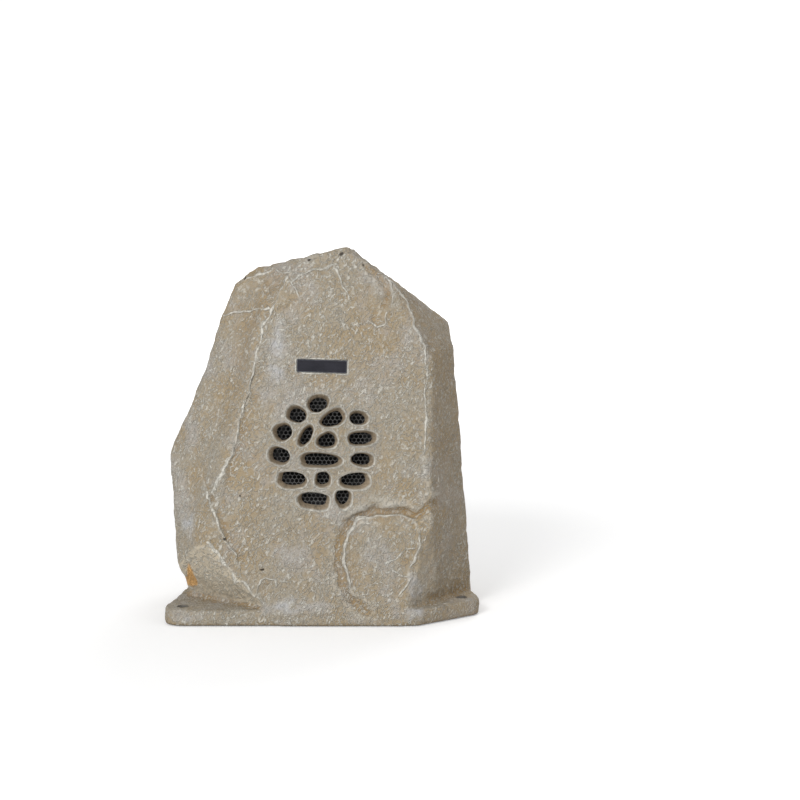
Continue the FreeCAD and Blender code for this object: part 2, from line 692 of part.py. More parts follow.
# Magnet system: front plate, ferrite ring, back plate with its vented pole
plate_bore = FORMER_RADIUS + WINDING_SHEET + COIL_GAP
pole_radius = FORMER_RADIUS - FORMER_SHEET - COIL_GAP
save("magnet_top_plate", tube(TOP_PLATE_RADIUS, plate_bore, BASKET_BACK, TOP_PLATE_BACK))
save("magnet_ring", tube(MAGNET_RADIUS, MAGNET_BORE_RADIUS, TOP_PLATE_BACK, MAGNET_BACK))
save("magnet_pole_plate", driver_turned([
    (POLE_VENT_RADIUS, BASKET_BACK),
    (pole_radius, BASKET_BACK),
    (pole_radius, MAGNET_BACK),
    (TOP_PLATE_RADIUS, MAGNET_BACK),
    (TOP_PLATE_RADIUS, POLE_PLATE_BACK),
    (POLE_VENT_RADIUS, POLE_PLATE_BACK),
]))


# Tag board on the lower strut of the basket, and its two tags
def tag_frame():
    """Frame on the basket's outer slope, low down: x across, y along the slope inwards, z outwards."""
    run = Vector(0, BASKET_MOUTH_RADIUS - BASKET_FOOT_RADIUS, -(BASKET_FLOOR - SEAT))
    run.normalize()
    middle = (BASKET_MOUTH_RADIUS + BASKET_FOOT_RADIUS) / 2 + BASKET_SHEET
    spot = Vector(0, -middle, -(SEAT + BASKET_SHEET + BASKET_BACK) / 2)
    across = Vector(-1, 0, 0)
    turn = Rotation(across, run, across.cross(run), "XYZ")
    return DRIVER.multiply(Placement(spot, turn))


board_x, board_y, board_z = TAG_BOARD
tag_x, tag_y, tag_z = TAG_SIZE
board = Part.makeBox(board_x, board_y, board_z, Vector(-board_x / 2, -board_y / 2, GLUE_LINE))
save("driver_tag_board", placed(board, tag_frame()))
tags = []
for side in (-1, 1):
    corner = Vector(side * board_x / 4 - tag_x / 2, -board_y / 4, GLUE_LINE + board_z)
    tags.append(placed(Part.makeBox(tag_x, tag_y, tag_z, corner), tag_frame()))
save("driver_tags", *tags)


# Base cover, its seal and screws
def cable_slot():
    half = NOTCH_WIDTH / 2 + SLOT_GAP
    return Part.makeBox(SLOT_LENGTH, 2 * half, COVER_TOP + 1, Vector(rim_x(0), NOTCH_Y - half, 0))


def transformer_holes(radius, low, high):
    x, y = TRANSFORMER_AT
    reach = strap_reach()
    return [Part.makeCylinder(radius, high - low, Vector(x + s * reach, y, low)) for s in (-1, 1)]


def strap_reach():
    return CORE_WIDTH / 2 + STRAP_SHEET + STRAP_FOOT / 2


CORE_WIDTH = 3 * CENTRE_LEG
CORE_HIGH = 2.5 * CENTRE_LEG
WINDOW_WIDTH = CENTRE_LEG / 2
WINDOW_HIGH = 1.5 * CENTRE_LEG

cover = hollow(RIM_WALL + COVER_GAP, COVER_RECESS, COVER_TOP)
cover = cover.cut([cable_slot(), *base_holes(CLEAR_RADIUS, 0, COVER_TOP + 1)])
SCREW_HOLD = COVER_THICKNESS - 1
cover = cover.cut(transformer_holes(PILOT_RADIUS, COVER_TOP - SCREW_HOLD, COVER_TOP + 1))
save("base_plate", cover)
seal = hollow(RIM_WALL + COVER_GAP, COVER_TOP, LEDGE_SEAT)
seal = seal.cut(hollow(LEDGE_INSET, COVER_TOP - 1, LEDGE_SEAT + 1))
save("base_gasket", seal.cut(base_holes(CLEAR_RADIUS, COVER_TOP - 1, LEDGE_SEAT + 1)))
base_screw = pan_screw(LEDGE_SEAT - COVER_RECESS + SCREW_BITE)
base_frames = [Placement(s + Vector(0, 0, COVER_RECESS), Rotation()) for s in BASE_SPOTS]
save("base_screws", *[placed(base_screw, frame) for frame in base_frames])


# Rubber cable inlet: fills the notch, with a lip that lies along the outside of the flange
def cable_grommet():
    start = min(flange_x(), rim_x(0)) - 2 * INLET_LIP
    plug = notch_cutter(INLET_GAP, 0, start, rim_x(RIM_WALL))
    lip = notch_cutter(INLET_GAP, INLET_LIP, start, rim_x(0))
    lip = lip.cut([flange_block(INLET_GAP), faceted(-INLET_GAP)])
    mouth = Vector(start - RIM_WALL, NOTCH_Y, COVER_TOP / 2)
    bore = Part.makeCylinder(CABLE_RADIUS, 4 * RIM_WALL, mouth, Vector(1, 0, 0))
    return plug.fuse(lip).cut(bore).removeSplitter()


save("cable_grommet", cable_grommet())


# Line transformer
def transformer_box(width, depth, low, high):
    x, y = TRANSFORMER_AT
    return Part.makeBox(width, depth, high - low, Vector(x - width / 2, y - depth / 2, COVER_TOP + low))


YOKE = CENTRE_LEG / 2
core = transformer_box(CORE_WIDTH, STACK, 0, CORE_HIGH)
window = transformer_box(CENTRE_LEG + 2 * WINDOW_WIDTH, STACK, YOKE, YOKE + WINDOW_HIGH)
leg = transformer_box(CENTRE_LEG, STACK, YOKE, YOKE + WINDOW_HIGH)
save("transformer_core", core.cut(window.cut(leg)))

bobbin_low = YOKE + BOBBIN_GAP
bobbin_high = YOKE + WINDOW_HIGH - BOBBIN_GAP
leg_x = CENTRE_LEG + 2 * BOBBIN_GAP
leg_y = STACK + 2 * BOBBIN_GAP
flange_x = CENTRE_LEG + 2 * WINDOW_WIDTH - 2 * BOBBIN_GAP
flange_y = STACK + 2 * WINDOW_WIDTH - 2 * BOBBIN_GAP
barrel_x = leg_x + 2 * BOBBIN_WALL
barrel_y = leg_y + 2 * BOBBIN_WALL
coil_x = flange_x - 2 * WINDING_INSET
coil_y = flange_y - 2 * WINDING_INSET
bobbin = transformer_box(barrel_x, barrel_y, bobbin_low, bobbin_high)
for low in (bobbin_low, bobbin_high - BOBBIN_WALL):
    bobbin = bobbin.fuse(transformer_box(flange_x, flange_y, low, low + BOBBIN_WALL))
save("transformer_bobbin", bobbin.cut(transformer_box(leg_x, leg_y, 0, CORE_HIGH)).removeSplitter())
coil = transformer_box(coil_x, coil_y, bobbin_low + BOBBIN_WALL, bobbin_high - BOBBIN_WALL)
coil = coil.makeFillet(WINDOW_WIDTH / 4, [e for e in coil.Edges if abs(e.tangentAt(0).z) > 0.5])
save("transformer_winding", coil.cut(transformer_box(barrel_x, barrel_y, 0, CORE_HIGH)))


def transformer_strap():
    strap_y = STACK / 2
    outer = transformer_box(CORE_WIDTH + 2 * STRAP_SHEET, strap_y, 0, CORE_HIGH + STRAP_SHEET)
    feet = transformer_box(2 * (strap_reach() + STRAP_FOOT / 2), strap_y, 0, STRAP_SHEET)
    strap = outer.fuse(feet).cut(transformer_box(CORE_WIDTH, strap_y, -1, CORE_HIGH))
    holes = transformer_holes(CLEAR_RADIUS, COVER_TOP - 1, COVER_TOP + STRAP_SHEET + 1)
    return strap.cut(holes).removeSplitter()


save("transformer_strap", transformer_strap())


def transformer_screws():
    screw = pan_screw(STRAP_SHEET + SCREW_HOLD - SCREW_GAP)
    x, y = TRANSFORMER_AT
    turn = Rotation(Vector(1, 0, 0), 180)
    high = COVER_TOP + STRAP_SHEET
    return [placed(screw, Placement(Vector(x + s * strap_reach(), y, high), turn)) for s in (-1, 1)]


save("transformer_screws", *transformer_screws())


# Terminal block: a row of brass barrels in a plastic strip
def terminal_block():
    x, y = BLOCK_AT
    length = BLOCK_WAYS * BLOCK_PITCH
    front = y - BLOCK_WIDTH / 2
    middle = COVER_TOP + BLOCK_HEIGHT / 2
    strip = Part.makeBox(length, BLOCK_WIDTH, BLOCK_HEIGHT, Vector(x - length / 2, front, COVER_TOP))
    top = [edge for edge in strip.Edges if edge.BoundBox.ZMin > middle]
    strip = strip.makeChamfer(BLOCK_CHAMFER, [edge for edge in top if edge.BoundBox.XLength > 1])
    inserts = []
    along = Vector(0, 1, 0)
    for way in range(BLOCK_WAYS):
        spot = Vector(x + (way - (BLOCK_WAYS - 1) / 2) * BLOCK_PITCH, front, middle)
        strip = strip.cut(Part.makeCylinder(INSERT_RADIUS + SCREW_GAP, BLOCK_WIDTH, spot, along))
        barrel = Part.makeCylinder(INSERT_RADIUS, BLOCK_WIDTH, spot, along)
        barrel = barrel.cut(Part.makeCylinder(INSERT_BORE_RADIUS, BLOCK_WIDTH, spot, along))
        for side in (-1, 1):
            deep = (BLOCK_WIDTH + side * WELL_SPREAD) / 2
            strip = strip.cut(Part.makeCylinder(WELL_RADIUS, BLOCK_HEIGHT, spot + along * deep))
        inserts.append(barrel)
    return strip, inserts


block, inserts = terminal_block()
save("terminal_block", block)
save("terminal_inserts", *inserts)


# Inner lead: straight runs joined by tangent arcs, from the winding's front up to the tag board
def lead_path(points, bend):
    edges = []
    last = points[0]
    for before, corner, after in zip(points, points[1:], points[2:]):
        back = (before - corner).normalize()
        on = (after - corner).normalize()
        half = back.getAngle(on) / 2
        cut = bend / math.tan(half)
        centre_way = (back + on).normalize()
        middle = corner + centre_way * (bend / math.sin(half) - bend)
        arc = Part.Arc(corner + back * cut, middle, corner + on * cut)
        edges += [Part.makeLine(last, arc.StartPoint), arc.toShape()]
        last = arc.EndPoint
    return Part.Wire(edges + [Part.makeLine(last, points[-1])])


def driver_lead():
    x, y = TRANSFORMER_AT
    front = y - flange_y / 2 - LEAD_RADIUS - GLUE_LINE
    start = Vector(x, front, COVER_TOP + bobbin_high - LEAD_BELOW_FLANGE)
    tag_end = tag_frame().multVec(Vector(board_x / 4, tag_y - board_y / 4, GLUE_LINE + board_z + tag_z))
    end = tag_end + Vector(0, 0, -LEAD_RADIUS - GLUE_LINE)
    rise = Vector(0, 0, LEAD_RISE)
    points = [start - Vector(0, 0, LEAD_TAIL), start + rise, end - rise, end]
    path = lead_path(points, LEAD_BEND)
    aim = path.Edges[0].tangentAt(0)
    ring = Part.Wire([Part.makeCircle(LEAD_RADIUS, points[0], aim)])
    return path.makePipeShell([ring], True, True)


save("driver_lead", driver_lead())
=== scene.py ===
# %% [markdown]
# # A rock-shaped garden speaker
# The speaker is a hollow casting that looks like a weathered boulder. Sound leaves through a cluster of
# hand-formed openings, and four lugs at the foot take ground screws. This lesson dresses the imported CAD
# model: the casting gets its stone relief, the grille its fine mesh, and each piece a material from nodes.
# The first cell loads the frame. Everything is in metres, +Z is up and the grille faces -Y.

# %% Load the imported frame
import math

import bmesh
import bpy
import numpy as np
from mathutils import Matrix, Vector, noise


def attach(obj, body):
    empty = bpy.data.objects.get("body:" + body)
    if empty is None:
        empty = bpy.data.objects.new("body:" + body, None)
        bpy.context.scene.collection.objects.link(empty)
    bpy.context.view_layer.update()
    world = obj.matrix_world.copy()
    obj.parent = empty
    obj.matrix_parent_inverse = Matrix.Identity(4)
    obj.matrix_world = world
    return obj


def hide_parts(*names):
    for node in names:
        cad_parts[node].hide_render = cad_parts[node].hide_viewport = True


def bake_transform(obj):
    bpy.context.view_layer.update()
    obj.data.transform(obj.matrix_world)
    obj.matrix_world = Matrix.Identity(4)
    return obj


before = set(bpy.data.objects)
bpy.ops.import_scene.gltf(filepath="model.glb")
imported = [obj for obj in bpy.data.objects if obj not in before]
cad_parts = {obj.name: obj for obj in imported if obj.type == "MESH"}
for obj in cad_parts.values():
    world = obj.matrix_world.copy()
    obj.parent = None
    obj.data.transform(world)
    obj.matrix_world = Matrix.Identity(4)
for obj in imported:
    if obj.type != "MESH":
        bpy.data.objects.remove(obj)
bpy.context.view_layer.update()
MM = 0.001

# %% [markdown]
# ## Camera
# The photograph was taken with a long lens from about five metres, ten degrees above the ground and square
# to the front. A long lens keeps upright edges nearly parallel. The picture's middle lies to the right of
# the rock and above it, so the camera aims there, and no lens shift is needed.

# %% Place the camera
VIEW_LIFT = math.radians(10)
DISTANCE = 5.0
PIXEL = 0.0011
PICTURE_WIDTH = 800
MIDDLE_RIGHT, MIDDLE_UP = 78, 227
FRONT_EDGE = 140
SENSOR = 36
view_up = Vector((0, math.sin(VIEW_LIFT), math.cos(VIEW_LIFT)))
view_ahead = Vector((0, math.cos(VIEW_LIFT), -math.sin(VIEW_LIFT)))
foot_of_front = Vector((0, -FRONT_EDGE * MM, 0))
aim = foot_of_front + Vector((MIDDLE_RIGHT * PIXEL, 0, 0)) + view_up * (MIDDLE_UP * PIXEL)

camera_data = bpy.data.cameras.new("camera")
camera_data.sensor_width = SENSOR
camera_data.lens = SENSOR * DISTANCE / (PICTURE_WIDTH * PIXEL)
camera_data.clip_end = 100
camera = bpy.data.objects.new("camera", camera_data)
camera.location = aim - view_ahead * DISTANCE
camera.rotation_euler = (math.radians(90) - VIEW_LIFT, 0, 0)
bpy.context.scene.collection.objects.link(camera)
bpy.context.scene.camera = camera
print("lens", round(camera_data.lens, 1), "mm")

# %% [markdown]
# ## Small helpers
# A piece is made in bmesh, or taken from a modifier's result, and then linked as an object. Booleans and
# remeshing are modifiers here: they are evaluated once and the result is kept as a plain mesh, so nothing
# is left to recompute. The manifold solver is quick on closed meshes.


# %% Mesh helpers
def link(name, mesh):
    piece = bpy.data.objects.new(name, mesh)
    bpy.context.scene.collection.objects.link(piece)
    return piece


def from_bmesh(name, bm):
    bmesh.ops.recalc_face_normals(bm, faces=bm.faces)
    mesh = bpy.data.meshes.new(name)
    bm.to_mesh(mesh)
    bm.free()
    return link(name, mesh)


def settle(piece):
    """Keep the result of a piece's modifiers as its mesh."""
    graph = bpy.context.evaluated_depsgraph_get()
    mesh = bpy.data.meshes.new_from_object(piece.evaluated_get(graph))
    piece.modifiers.clear()
    piece.data = mesh
    return piece


def combine(piece, others, operation):
    for other in others:
        step = piece.modifiers.new("combine", "BOOLEAN")
        step.operation = operation
        step.solver = "MANIFOLD"
        step.object = other
    settle(piece)
    for other in others:
        bpy.data.objects.remove(other)
    return piece


def triangles(piece):
    return sum(len(face.vertices) - 2 for face in piece.data.polygons)


print("mesh helpers ready")

# %% [markdown]
# ## The rock's block
# The casting is a boulder broken along flat faces. Each face is a plane: an azimuth round the rock (0 is the
# front), an upward lean, and its distance from a core point. Three more planes are chips: two lean back over
# the front lugs, one takes off the top's left corner. A cube cut by these planes gives the same block as the
# CAD, and the same planes moved inwards give the hollow. Sculpting by hand could do this too, but planes
# keep the dressed rock on the solid it stands for.

# %% Cut blocks from planes
CORE = Vector((0, 0, 0.180))
TALL = 600
FACETS = {
    "front_panel": (0, 8, 113.4),
    "left_front": (-52, 15.5, 145.9),
    "left_side": (-94, 21, 150.9),
    "left_low": (-96, -6.5, 161.2),
    "left_corner": (-62, 3, 166.9),
    "left_shoulder": (-42, 36, 185.2),
    "top_left": (-132, 73, 201.8),
    "top_right": (100, 52, 192.0),
    "right_front": (62, 3, 159.6),
    "right_side": (94, 4.5, 149.6),
    "right_shoulder": (80, 36, 189.8),
    "right_chip": (52, 28, 190.0),
    "back": (180, 8, 104.0),
    "back_left": (-138, 5, 140.1),
    "back_right": (138, 7, 134.0),
    "back_slope": (172, 45, 168.0),
}
CHIPS = {
    "front_left_foot": (-42.7, -25.9, 197.1),
    "front_right_foot": (56.5, -7.5, 173.5),
    "top_left_corner": (-104.2, 51, 194.0),
}


def facet_normal(azimuth, lean):
    turn, tilt = math.radians(azimuth), math.radians(lean)
    return Vector((math.cos(tilt) * math.sin(turn), -math.cos(tilt) * math.cos(turn), math.sin(tilt)))


def shave(bm, point, normal):
    """Cut off what lies beyond a plane and close the cut."""
    cut = bmesh.ops.bisect_plane(bm, geom=bm.verts[:] + bm.edges[:] + bm.faces[:], dist=1e-7,
                                 plane_co=point, plane_no=normal, clear_outer=True)
    rim = [part for part in cut["geom_cut"] if isinstance(part, bmesh.types.BMEdge)]
    if rim:
        bmesh.ops.contextual_create(bm, geom=rim)


def block(name, inset, low, high, front_inset=None, chipped=True):
    bm = bmesh.new()
    bmesh.ops.create_cube(bm, size=1.0)
    planes = {**FACETS, **CHIPS} if chipped else FACETS
    for facet, (azimuth, lean, reach) in planes.items():
        normal = facet_normal(azimuth, lean)
        drawn_in = front_inset if front_inset and facet == "front_panel" else inset
        shave(bm, CORE + normal * (reach - drawn_in) * MM, normal)
    shave(bm, Vector((0, 0, low * MM)), Vector((0, 0, -1)))
    shave(bm, Vector((0, 0, high * MM)), Vector((0, 0, 1)))
    return from_bmesh(name, bm)


rock = block("rock", 0, 0, TALL)
print("block faces", len(rock.data.polygons))

# %% [markdown]
# ## Lugs, scoops and dells
# The rock stands on a flange whose corners are the lugs. Above each rear lug a ball is scooped out of the
# rock, so that a screwdriver reaches the hole. Two faces have a broad trough worn into them, here a long
# cylinder that lies in the face. The flange is the lugs' polygon, rounded about its corners.

# %% Shapes for the flange and the scoops
LUGS = {
    "front_left": (-154, -118, 60),
    "front_right": (154, -70, 20),
    "rear_right": (104, 120, 34),
    "rear_left": (-109, 120, 32),
}
LUG_RADIUS, LUG_TOP, SCOOP_RISE = 20, 18, 14
CORNERS = [LUGS["front_left"][:2], (98, -118)] + [LUGS[name][:2] for name in list(LUGS)[1:]]


def rounded(corners, radius, steps=10):
    """Points round a convex polygon, grown by a radius."""
    points = []
    for k, corner in enumerate(corners):
        before = Vector(corner) - Vector(corners[k - 1])
        after = Vector(corners[(k + 1) % len(corners)]) - Vector(corner)
        first = math.atan2(-before.x, before.y)
        sweep = before.angle_signed(after)
        for step in range(steps + 1):
            turn = first + abs(sweep) * step / steps
            points.append((corner[0] + radius * math.cos(turn), corner[1] + radius * math.sin(turn)))
    return points


def thicken(bm, faces, shift):
    """Extrude faces and move the copies."""
    made = bmesh.ops.extrude_face_region(bm, geom=faces)["geom"]
    moved = [part for part in made if isinstance(part, bmesh.types.BMVert)]
    bmesh.ops.translate(bm, verts=moved, vec=shift)


def prism(name, points, low, high):
    bm = bmesh.new()
    floor = bm.faces.new([bm.verts.new((x * MM, y * MM, low * MM)) for x, y in points])
    thicken(bm, [floor], (0, 0, (high - low) * MM))
    return from_bmesh(name, bm)


def ball(name, x, y, z, radius, floor=None):
    bm = bmesh.new()
    bmesh.ops.create_icosphere(bm, subdivisions=4, radius=radius * MM,
                               matrix=Matrix.Translation((x * MM, y * MM, z * MM)))
    if floor is not None:
        shave(bm, Vector((0, 0, floor * MM)), Vector((0, 0, -1)))
    return from_bmesh(name, bm)


def scoops(grown):
    high = LUG_TOP + SCOOP_RISE
    return [ball(name, x, y, high, radius + grown) for name, (x, y, radius) in LUGS.items()]


def circle(radius, z=0.0, count=24, x=0.0, y=0.0):
    """Points round an upright axis, in millimetres."""
    angles = [2 * math.pi * k / count for k in range(count)]
    return [Vector((x + radius * math.cos(a), y + radius * math.sin(a), z)) for a in angles]


def body(name, rings, matrix=Matrix(), hoop=False):
    """A body through rings with the same count of points: capped at both ends, or closed into a hoop."""
    bm = bmesh.new()
    rows = [[bm.verts.new(matrix @ (Vector(p) * MM)) for p in ring] for ring in rings]
    for low, high in zip(rows, rows[1:] + (rows[:1] if hoop else [])):
        for k in range(len(low)):
            bm.faces.new((low[k - 1], low[k], high[k], high[k - 1]))
    if not hoop:
        bm.faces.new(rows[0])
        bm.faces.new(list(reversed(rows[-1])))
    return from_bmesh(name, bm)


def rod(name, start, end, radius, around=24):
    """A closed cylinder between two points, in millimetres."""
    start, end = Vector(start), Vector(end)
    turn = (end - start).to_track_quat("Z", "Y").to_matrix()
    ring = [turn @ spot for spot in circle(radius, count=around)]
    return body(name, [[point + spot for spot in ring] for point in (start, end)])


print("flange corners", len(CORNERS))

# %% Scoop the rock and set it on its flange
TROUGH_LENGTH, TROUGH_SIDES = 400, 120
DELLS = {
    "left_dell": ("left_front", (-88, 322), (-138, 157), 4.5, 60),
    "back_dell": ("back", (60, 251), (-100, 124), 4.5, 150),
}


def dells(grown):
    troughs = []
    for name, (facet, first, last, depth, radius) in DELLS.items():
        azimuth, lean, reach = FACETS[facet]
        normal = facet_normal(azimuth, lean)
        ends = []
        for x, z in (first, last):
            y = (reach - normal.x * x - normal.z * (z - CORE.z / MM)) / normal.y
            ends.append(Vector((x, y, z)) + normal * (radius - depth))
        along = (ends[1] - ends[0]).normalized() * TROUGH_LENGTH
        troughs.append(rod(name, ends[0] - along, ends[1] + along, radius + grown, TROUGH_SIDES))
    return troughs


rear = [ball(name, *LUGS[name][:2], LUG_TOP + SCOOP_RISE, LUGS[name][2], LUG_TOP) for name in list(LUGS)[2:]]
combine(rock, rear + dells(0), "DIFFERENCE")
combine(rock, [prism("flange", rounded(CORNERS, LUG_RADIUS), 0, LUG_TOP)], "UNION")
print("scooped block", triangles(rock), "triangles")

# %% [markdown]
# ## A skin fine enough for stone
# Large flat faces can't carry relief, so the block is remeshed into an even skin of small quads. Averaging
# each point with its neighbours rounds the ridges as weather does, and the flange keeps firmer edges. What
# the ridges lose is given back over a broad band, so the outline stays. A subdivision surface would round
# ridges too, but it would leave long thin faces; voxels give the same size everywhere.

# %% Remesh and soften the skin
SKIN_FACE = 1.8
SOFT_ROUNDS, SOFTER_ROUNDS, LOST_ROUNDS = 12, 50, 60
FIRM_FOOT, WEAR, GIVEN_BACK = 30, 0.3, 1.5
skin = rock.modifiers.new("skin", "REMESH")
skin.mode = "VOXEL"
skin.voxel_size = SKIN_FACE * MM
settle(rock)


def read_skin(piece):
    """Vertex places and normals in millimetres, and the vertex pairs of the edges."""
    mesh = piece.data
    places = np.empty(len(mesh.vertices) * 3)
    mesh.vertices.foreach_get("co", places)
    normals = np.empty(len(mesh.vertices) * 3, np.float32)
    mesh.vertex_normals.foreach_get("vector", normals)
    pairs = np.empty(len(mesh.edges) * 2, np.int32)
    mesh.edges.foreach_get("vertices", pairs)
    return places.reshape(-1, 3) / MM, normals.reshape(-1, 3).astype(float), pairs.reshape(-1, 2)


def write_skin(piece, places):
    piece.data.vertices.foreach_set("co", (places * MM).ravel())
    piece.data.update()


def spread(values, pairs, rounds):
    """Average each value with those of its neighbours, again and again."""
    one, two = pairs[:, 0], pairs[:, 1]
    count = len(values)
    share = np.bincount(one, minlength=count) + np.bincount(two, minlength=count)
    columns = [column.copy() for column in values.reshape(count, -1).T]
    for _ in range(rounds):
        for k, column in enumerate(columns):
            total = np.bincount(one, column[two], count) + np.bincount(two, column[one], count)
            columns[k] = 0.5 * column + 0.5 * total / share
    return np.stack(columns, 1).reshape(values.shape)


def rise(values, start, over):
    """0 up to a start, then a ramp to 1 over a length."""
    return np.clip((values - start) / over, 0, 1)


places, normals, pairs = read_skin(rock)
soft = spread(places, pairs, SOFT_ROUNDS)
softer = spread(soft, pairs, SOFTER_ROUNDS)
above = rise(soft[:, 2], FIRM_FOOT, 30)[:, None]
worn = soft + WEAR * above * (softer - soft)
lost = spread(((places - worn) * normals).sum(1), pairs, LOST_ROUNDS)
write_skin(rock, worn + GIVEN_BACK * above * lost[:, None] * normals)
print("skin", len(places), "points, up to", lost.max().round(1), "mm given back")

# %% [markdown]
# ## Lines on the front
# Seen square from the front, every point of the skin has a place on the picture: how far right it is, and
# how high. Ridges, cracks, the ledge and the boulder's rim are drawn there as short lines in millimetres, and
# a little noise in the points' places makes the lines wavy.
# The openings' outlines are stretched circles with a little egg shape and squareness, in the panel's own
# plane: place, half length, half width, tilt, egg and squareness. The name plate lies in that plane too.

# %% Lines and openings
LEFT_RIDGE = [(-35, 385), (-50, 360), (-63, 334), (-72, 305), (-79, 264), (-87, 235), (-94, 206), (-103, 176),
              (-118, 147)]
RIGHT_RIDGE = [(76, 378), (90, 359), (102, 333), (113, 307), (115, 272), (114, 231), (113, 192), (115, 163),
               (120, 140), (119, 119), (123, 68), (123, 40)]
FLAKE = [(-124, 147), (-119, 132), (-114, 114), (-106, 98), (-96, 79)]
LEDGE = [(30, 121), (40, 127), (55, 131), (86, 130), (106, 129), (118, 137)]
BOULDER = [(42, 20), (32, 44), (24, 68), (29, 98), (39, 119), (55, 123), (86, 122), (101, 118), (108, 101),
           (108, 86), (98, 66), (95, 48)]
BROW = [(52, 396), (66, 381), (72, 366), (69, 354)]
SHOULDER = [(-104, 343), (-80, 348), (-59, 350)]
SHELL_MARK = [(72, 345), (70, 335), (61, 329), (51, 336)]
FOOT = [(-123, 95), (-114, 83), (-101, 66), (-87, 50), (-74, 36), (-64, 26)]
CURL = [(-74, 36), (-70, 47), (-62, 55), (-54, 53), (-52, 45)]
CRACKS = [[(-32, 379), (-28, 368), (-23, 358)], [(14, 393), (18, 385), (22, 379), (25, 370), (29, 361)],
          [(-84, 382), (-70, 387), (-56, 391)]]
VEINS = [[(-31, 378), (-24, 386), (0, 395), (15, 398)], [(-51, 393), (-44, 389), (-35, 390)],
         [(x + 6, y + 2) for x, y in BROW], [(70, 69), (84, 80), (103, 87)], [(78, 64), (87, 55), (98, 52)],
         [(98, 52), (91, 42), (85, 35)]]
PITS = [(-86, 383, 1.9), (21, 411, 2.2), (-14, 403, 1.5), (47, 399, 1.6), (-106, 98, 1.3), (-65, 64, 1.4)]
PAINTED = [LEFT_RIDGE, RIGHT_RIDGE[:7], FLAKE, BOULDER[1:8], BOULDER[8:11], SHOULDER, SHELL_MARK, FOOT, CURL,
           *CRACKS, *VEINS]
PANEL = Matrix.Translation((0, -0.11297, 0.191)) @ Matrix.Rotation(math.radians(82), 4, "X")
PLATE_SIZE, PLATE_RISE, PLATE_TURN = (55, 14), 94, math.radians(-1.8)
PLATE = PANEL @ Matrix.Translation((0, PLATE_RISE * MM, 0)) @ Matrix.Rotation(PLATE_TURN, 4, "Z")
WALL = 14
OPENINGS = (
    (-4.0, 54.0, 12.6, 9.6, 20, 0.10, 2.2),
    (-28.0, 41.5, 11.6, 9.4, -15, 0.10, 2.2),
    (11.5, 37.0, 14.8, 9.0, 24, -0.25, 2.2),
    (41.0, 37.5, 10.6, 7.8, -8, 0.10, 2.2),
    (-43.5, 22.0, 10.6, 9.8, 30, 0.10, 2.3),
    (-18.0, 18.0, 13.4, 6.4, 62, 0.05, 2.2),
    (5.0, 12.5, 11.8, 9.0, 18, -0.22, 2.2),
    (44.5, 15.0, 16.0, 8.2, 2, 0.05, 2.6),
    (-47.5, -4.5, 12.2, 9.6, -18, 0.05, 2.3),
    (-0.5, -9.5, 23.6, 8.4, -2, 0.20, 2.6),
    (44.5, -9.0, 12.8, 7.8, -4, -0.10, 2.3),
    (-33.0, -31.5, 16.4, 9.2, -4, 0.08, 2.5),
    (1.0, -31.0, 8.8, 8.8, 0, 0.0, 2.3),
    (36.0, -32.5, 17.0, 9.0, 4, -0.15, 2.5),
    (-9.5, -54.5, 18.0, 9.2, -6, -0.08, 2.8),
    (23.5, -53.0, 10.4, 8.8, -90, 0.30, 2.3),
)
print("lines", len(PAINTED), "openings", len(OPENINGS))

# %% Distances from the lines and the openings
WAVER, WAVER_SIZE = 3.2, 17


def off_line(line):
    """Distance of each point from a line of corners, and on which side it lies (+ is left along the line)."""
    best = np.full(len(across), 1e9)
    side = np.ones(len(across))
    for (ax, ay), (bx, by) in zip(line, line[1:]):
        dx, dy = bx - ax, by - ay
        share = np.clip(((across - ax) * dx + (upward - ay) * dy) / (dx * dx + dy * dy), 0, 1)
        away = np.hypot(across - ax - share * dx, upward - ay - share * dy)
        nearer = away < best
        best = np.where(nearer, away, best)
        side = np.where(nearer, np.sign(dx * (upward - ay) - dy * (across - ax)), side)
    return best, side


def off_openings():
    """Distance of each point from the nearest opening's outline, negative inside it."""
    gap = np.full(len(places), 1e9)
    for x, y, long, wide, tilt, egg, square in OPENINGS:
        c, s = math.cos(math.radians(tilt)), math.sin(math.radians(tilt))
        u = (on_panel[:, 0] - x) * c + (on_panel[:, 1] - y) * s
        v = (on_panel[:, 1] - y) * c - (on_panel[:, 0] - x) * s
        v = v / (1 - egg * np.clip(u / long, -1, 1))
        q = (np.abs(u / long) ** square + np.abs(v / wide) ** square) ** (1 / square)
        gap = np.minimum(gap, (q - 1) * np.hypot(u, v) / np.maximum(q, 0.05))
    return gap


def weather(points, size, seed, octaves=3):
    shift = Vector((seed * 7.31, seed * 3.77, seed * 5.19))
    return np.array([noise.fractal(Vector(p) / size + shift, 1.0, 2.0, octaves) for p in points])


def look(piece):
    """Read the skin, and where each point lies on the picture (a little wavy) and on the panel."""
    places, normals, pairs = read_skin(piece)
    across = places[:, 0] + WAVER * weather(places, WAVER_SIZE, 5, 2)
    upward = places[:, 2] * math.cos(VIEW_LIFT) + (places[:, 1] + FRONT_EDGE) * math.sin(VIEW_LIFT)
    upward += WAVER * weather(places, WAVER_SIZE, 6, 2)
    facing = normals[:, 2] * math.sin(VIEW_LIFT) - normals[:, 1] * math.cos(VIEW_LIFT)
    to_panel = np.array(PANEL.inverted())
    on_panel = places @ to_panel[:3, :3].T + to_panel[:3, 3] / MM
    return places, normals, pairs, across, upward, facing, on_panel


print("picture waves by", WAVER, "mm")

# %% [markdown]
# ## Finer faces along the lines
# A crack is thinner than one face of the skin. Splitting only the faces near a drawn line or an opening's rim
# gives these places twice the detail and leaves the rest as it was.

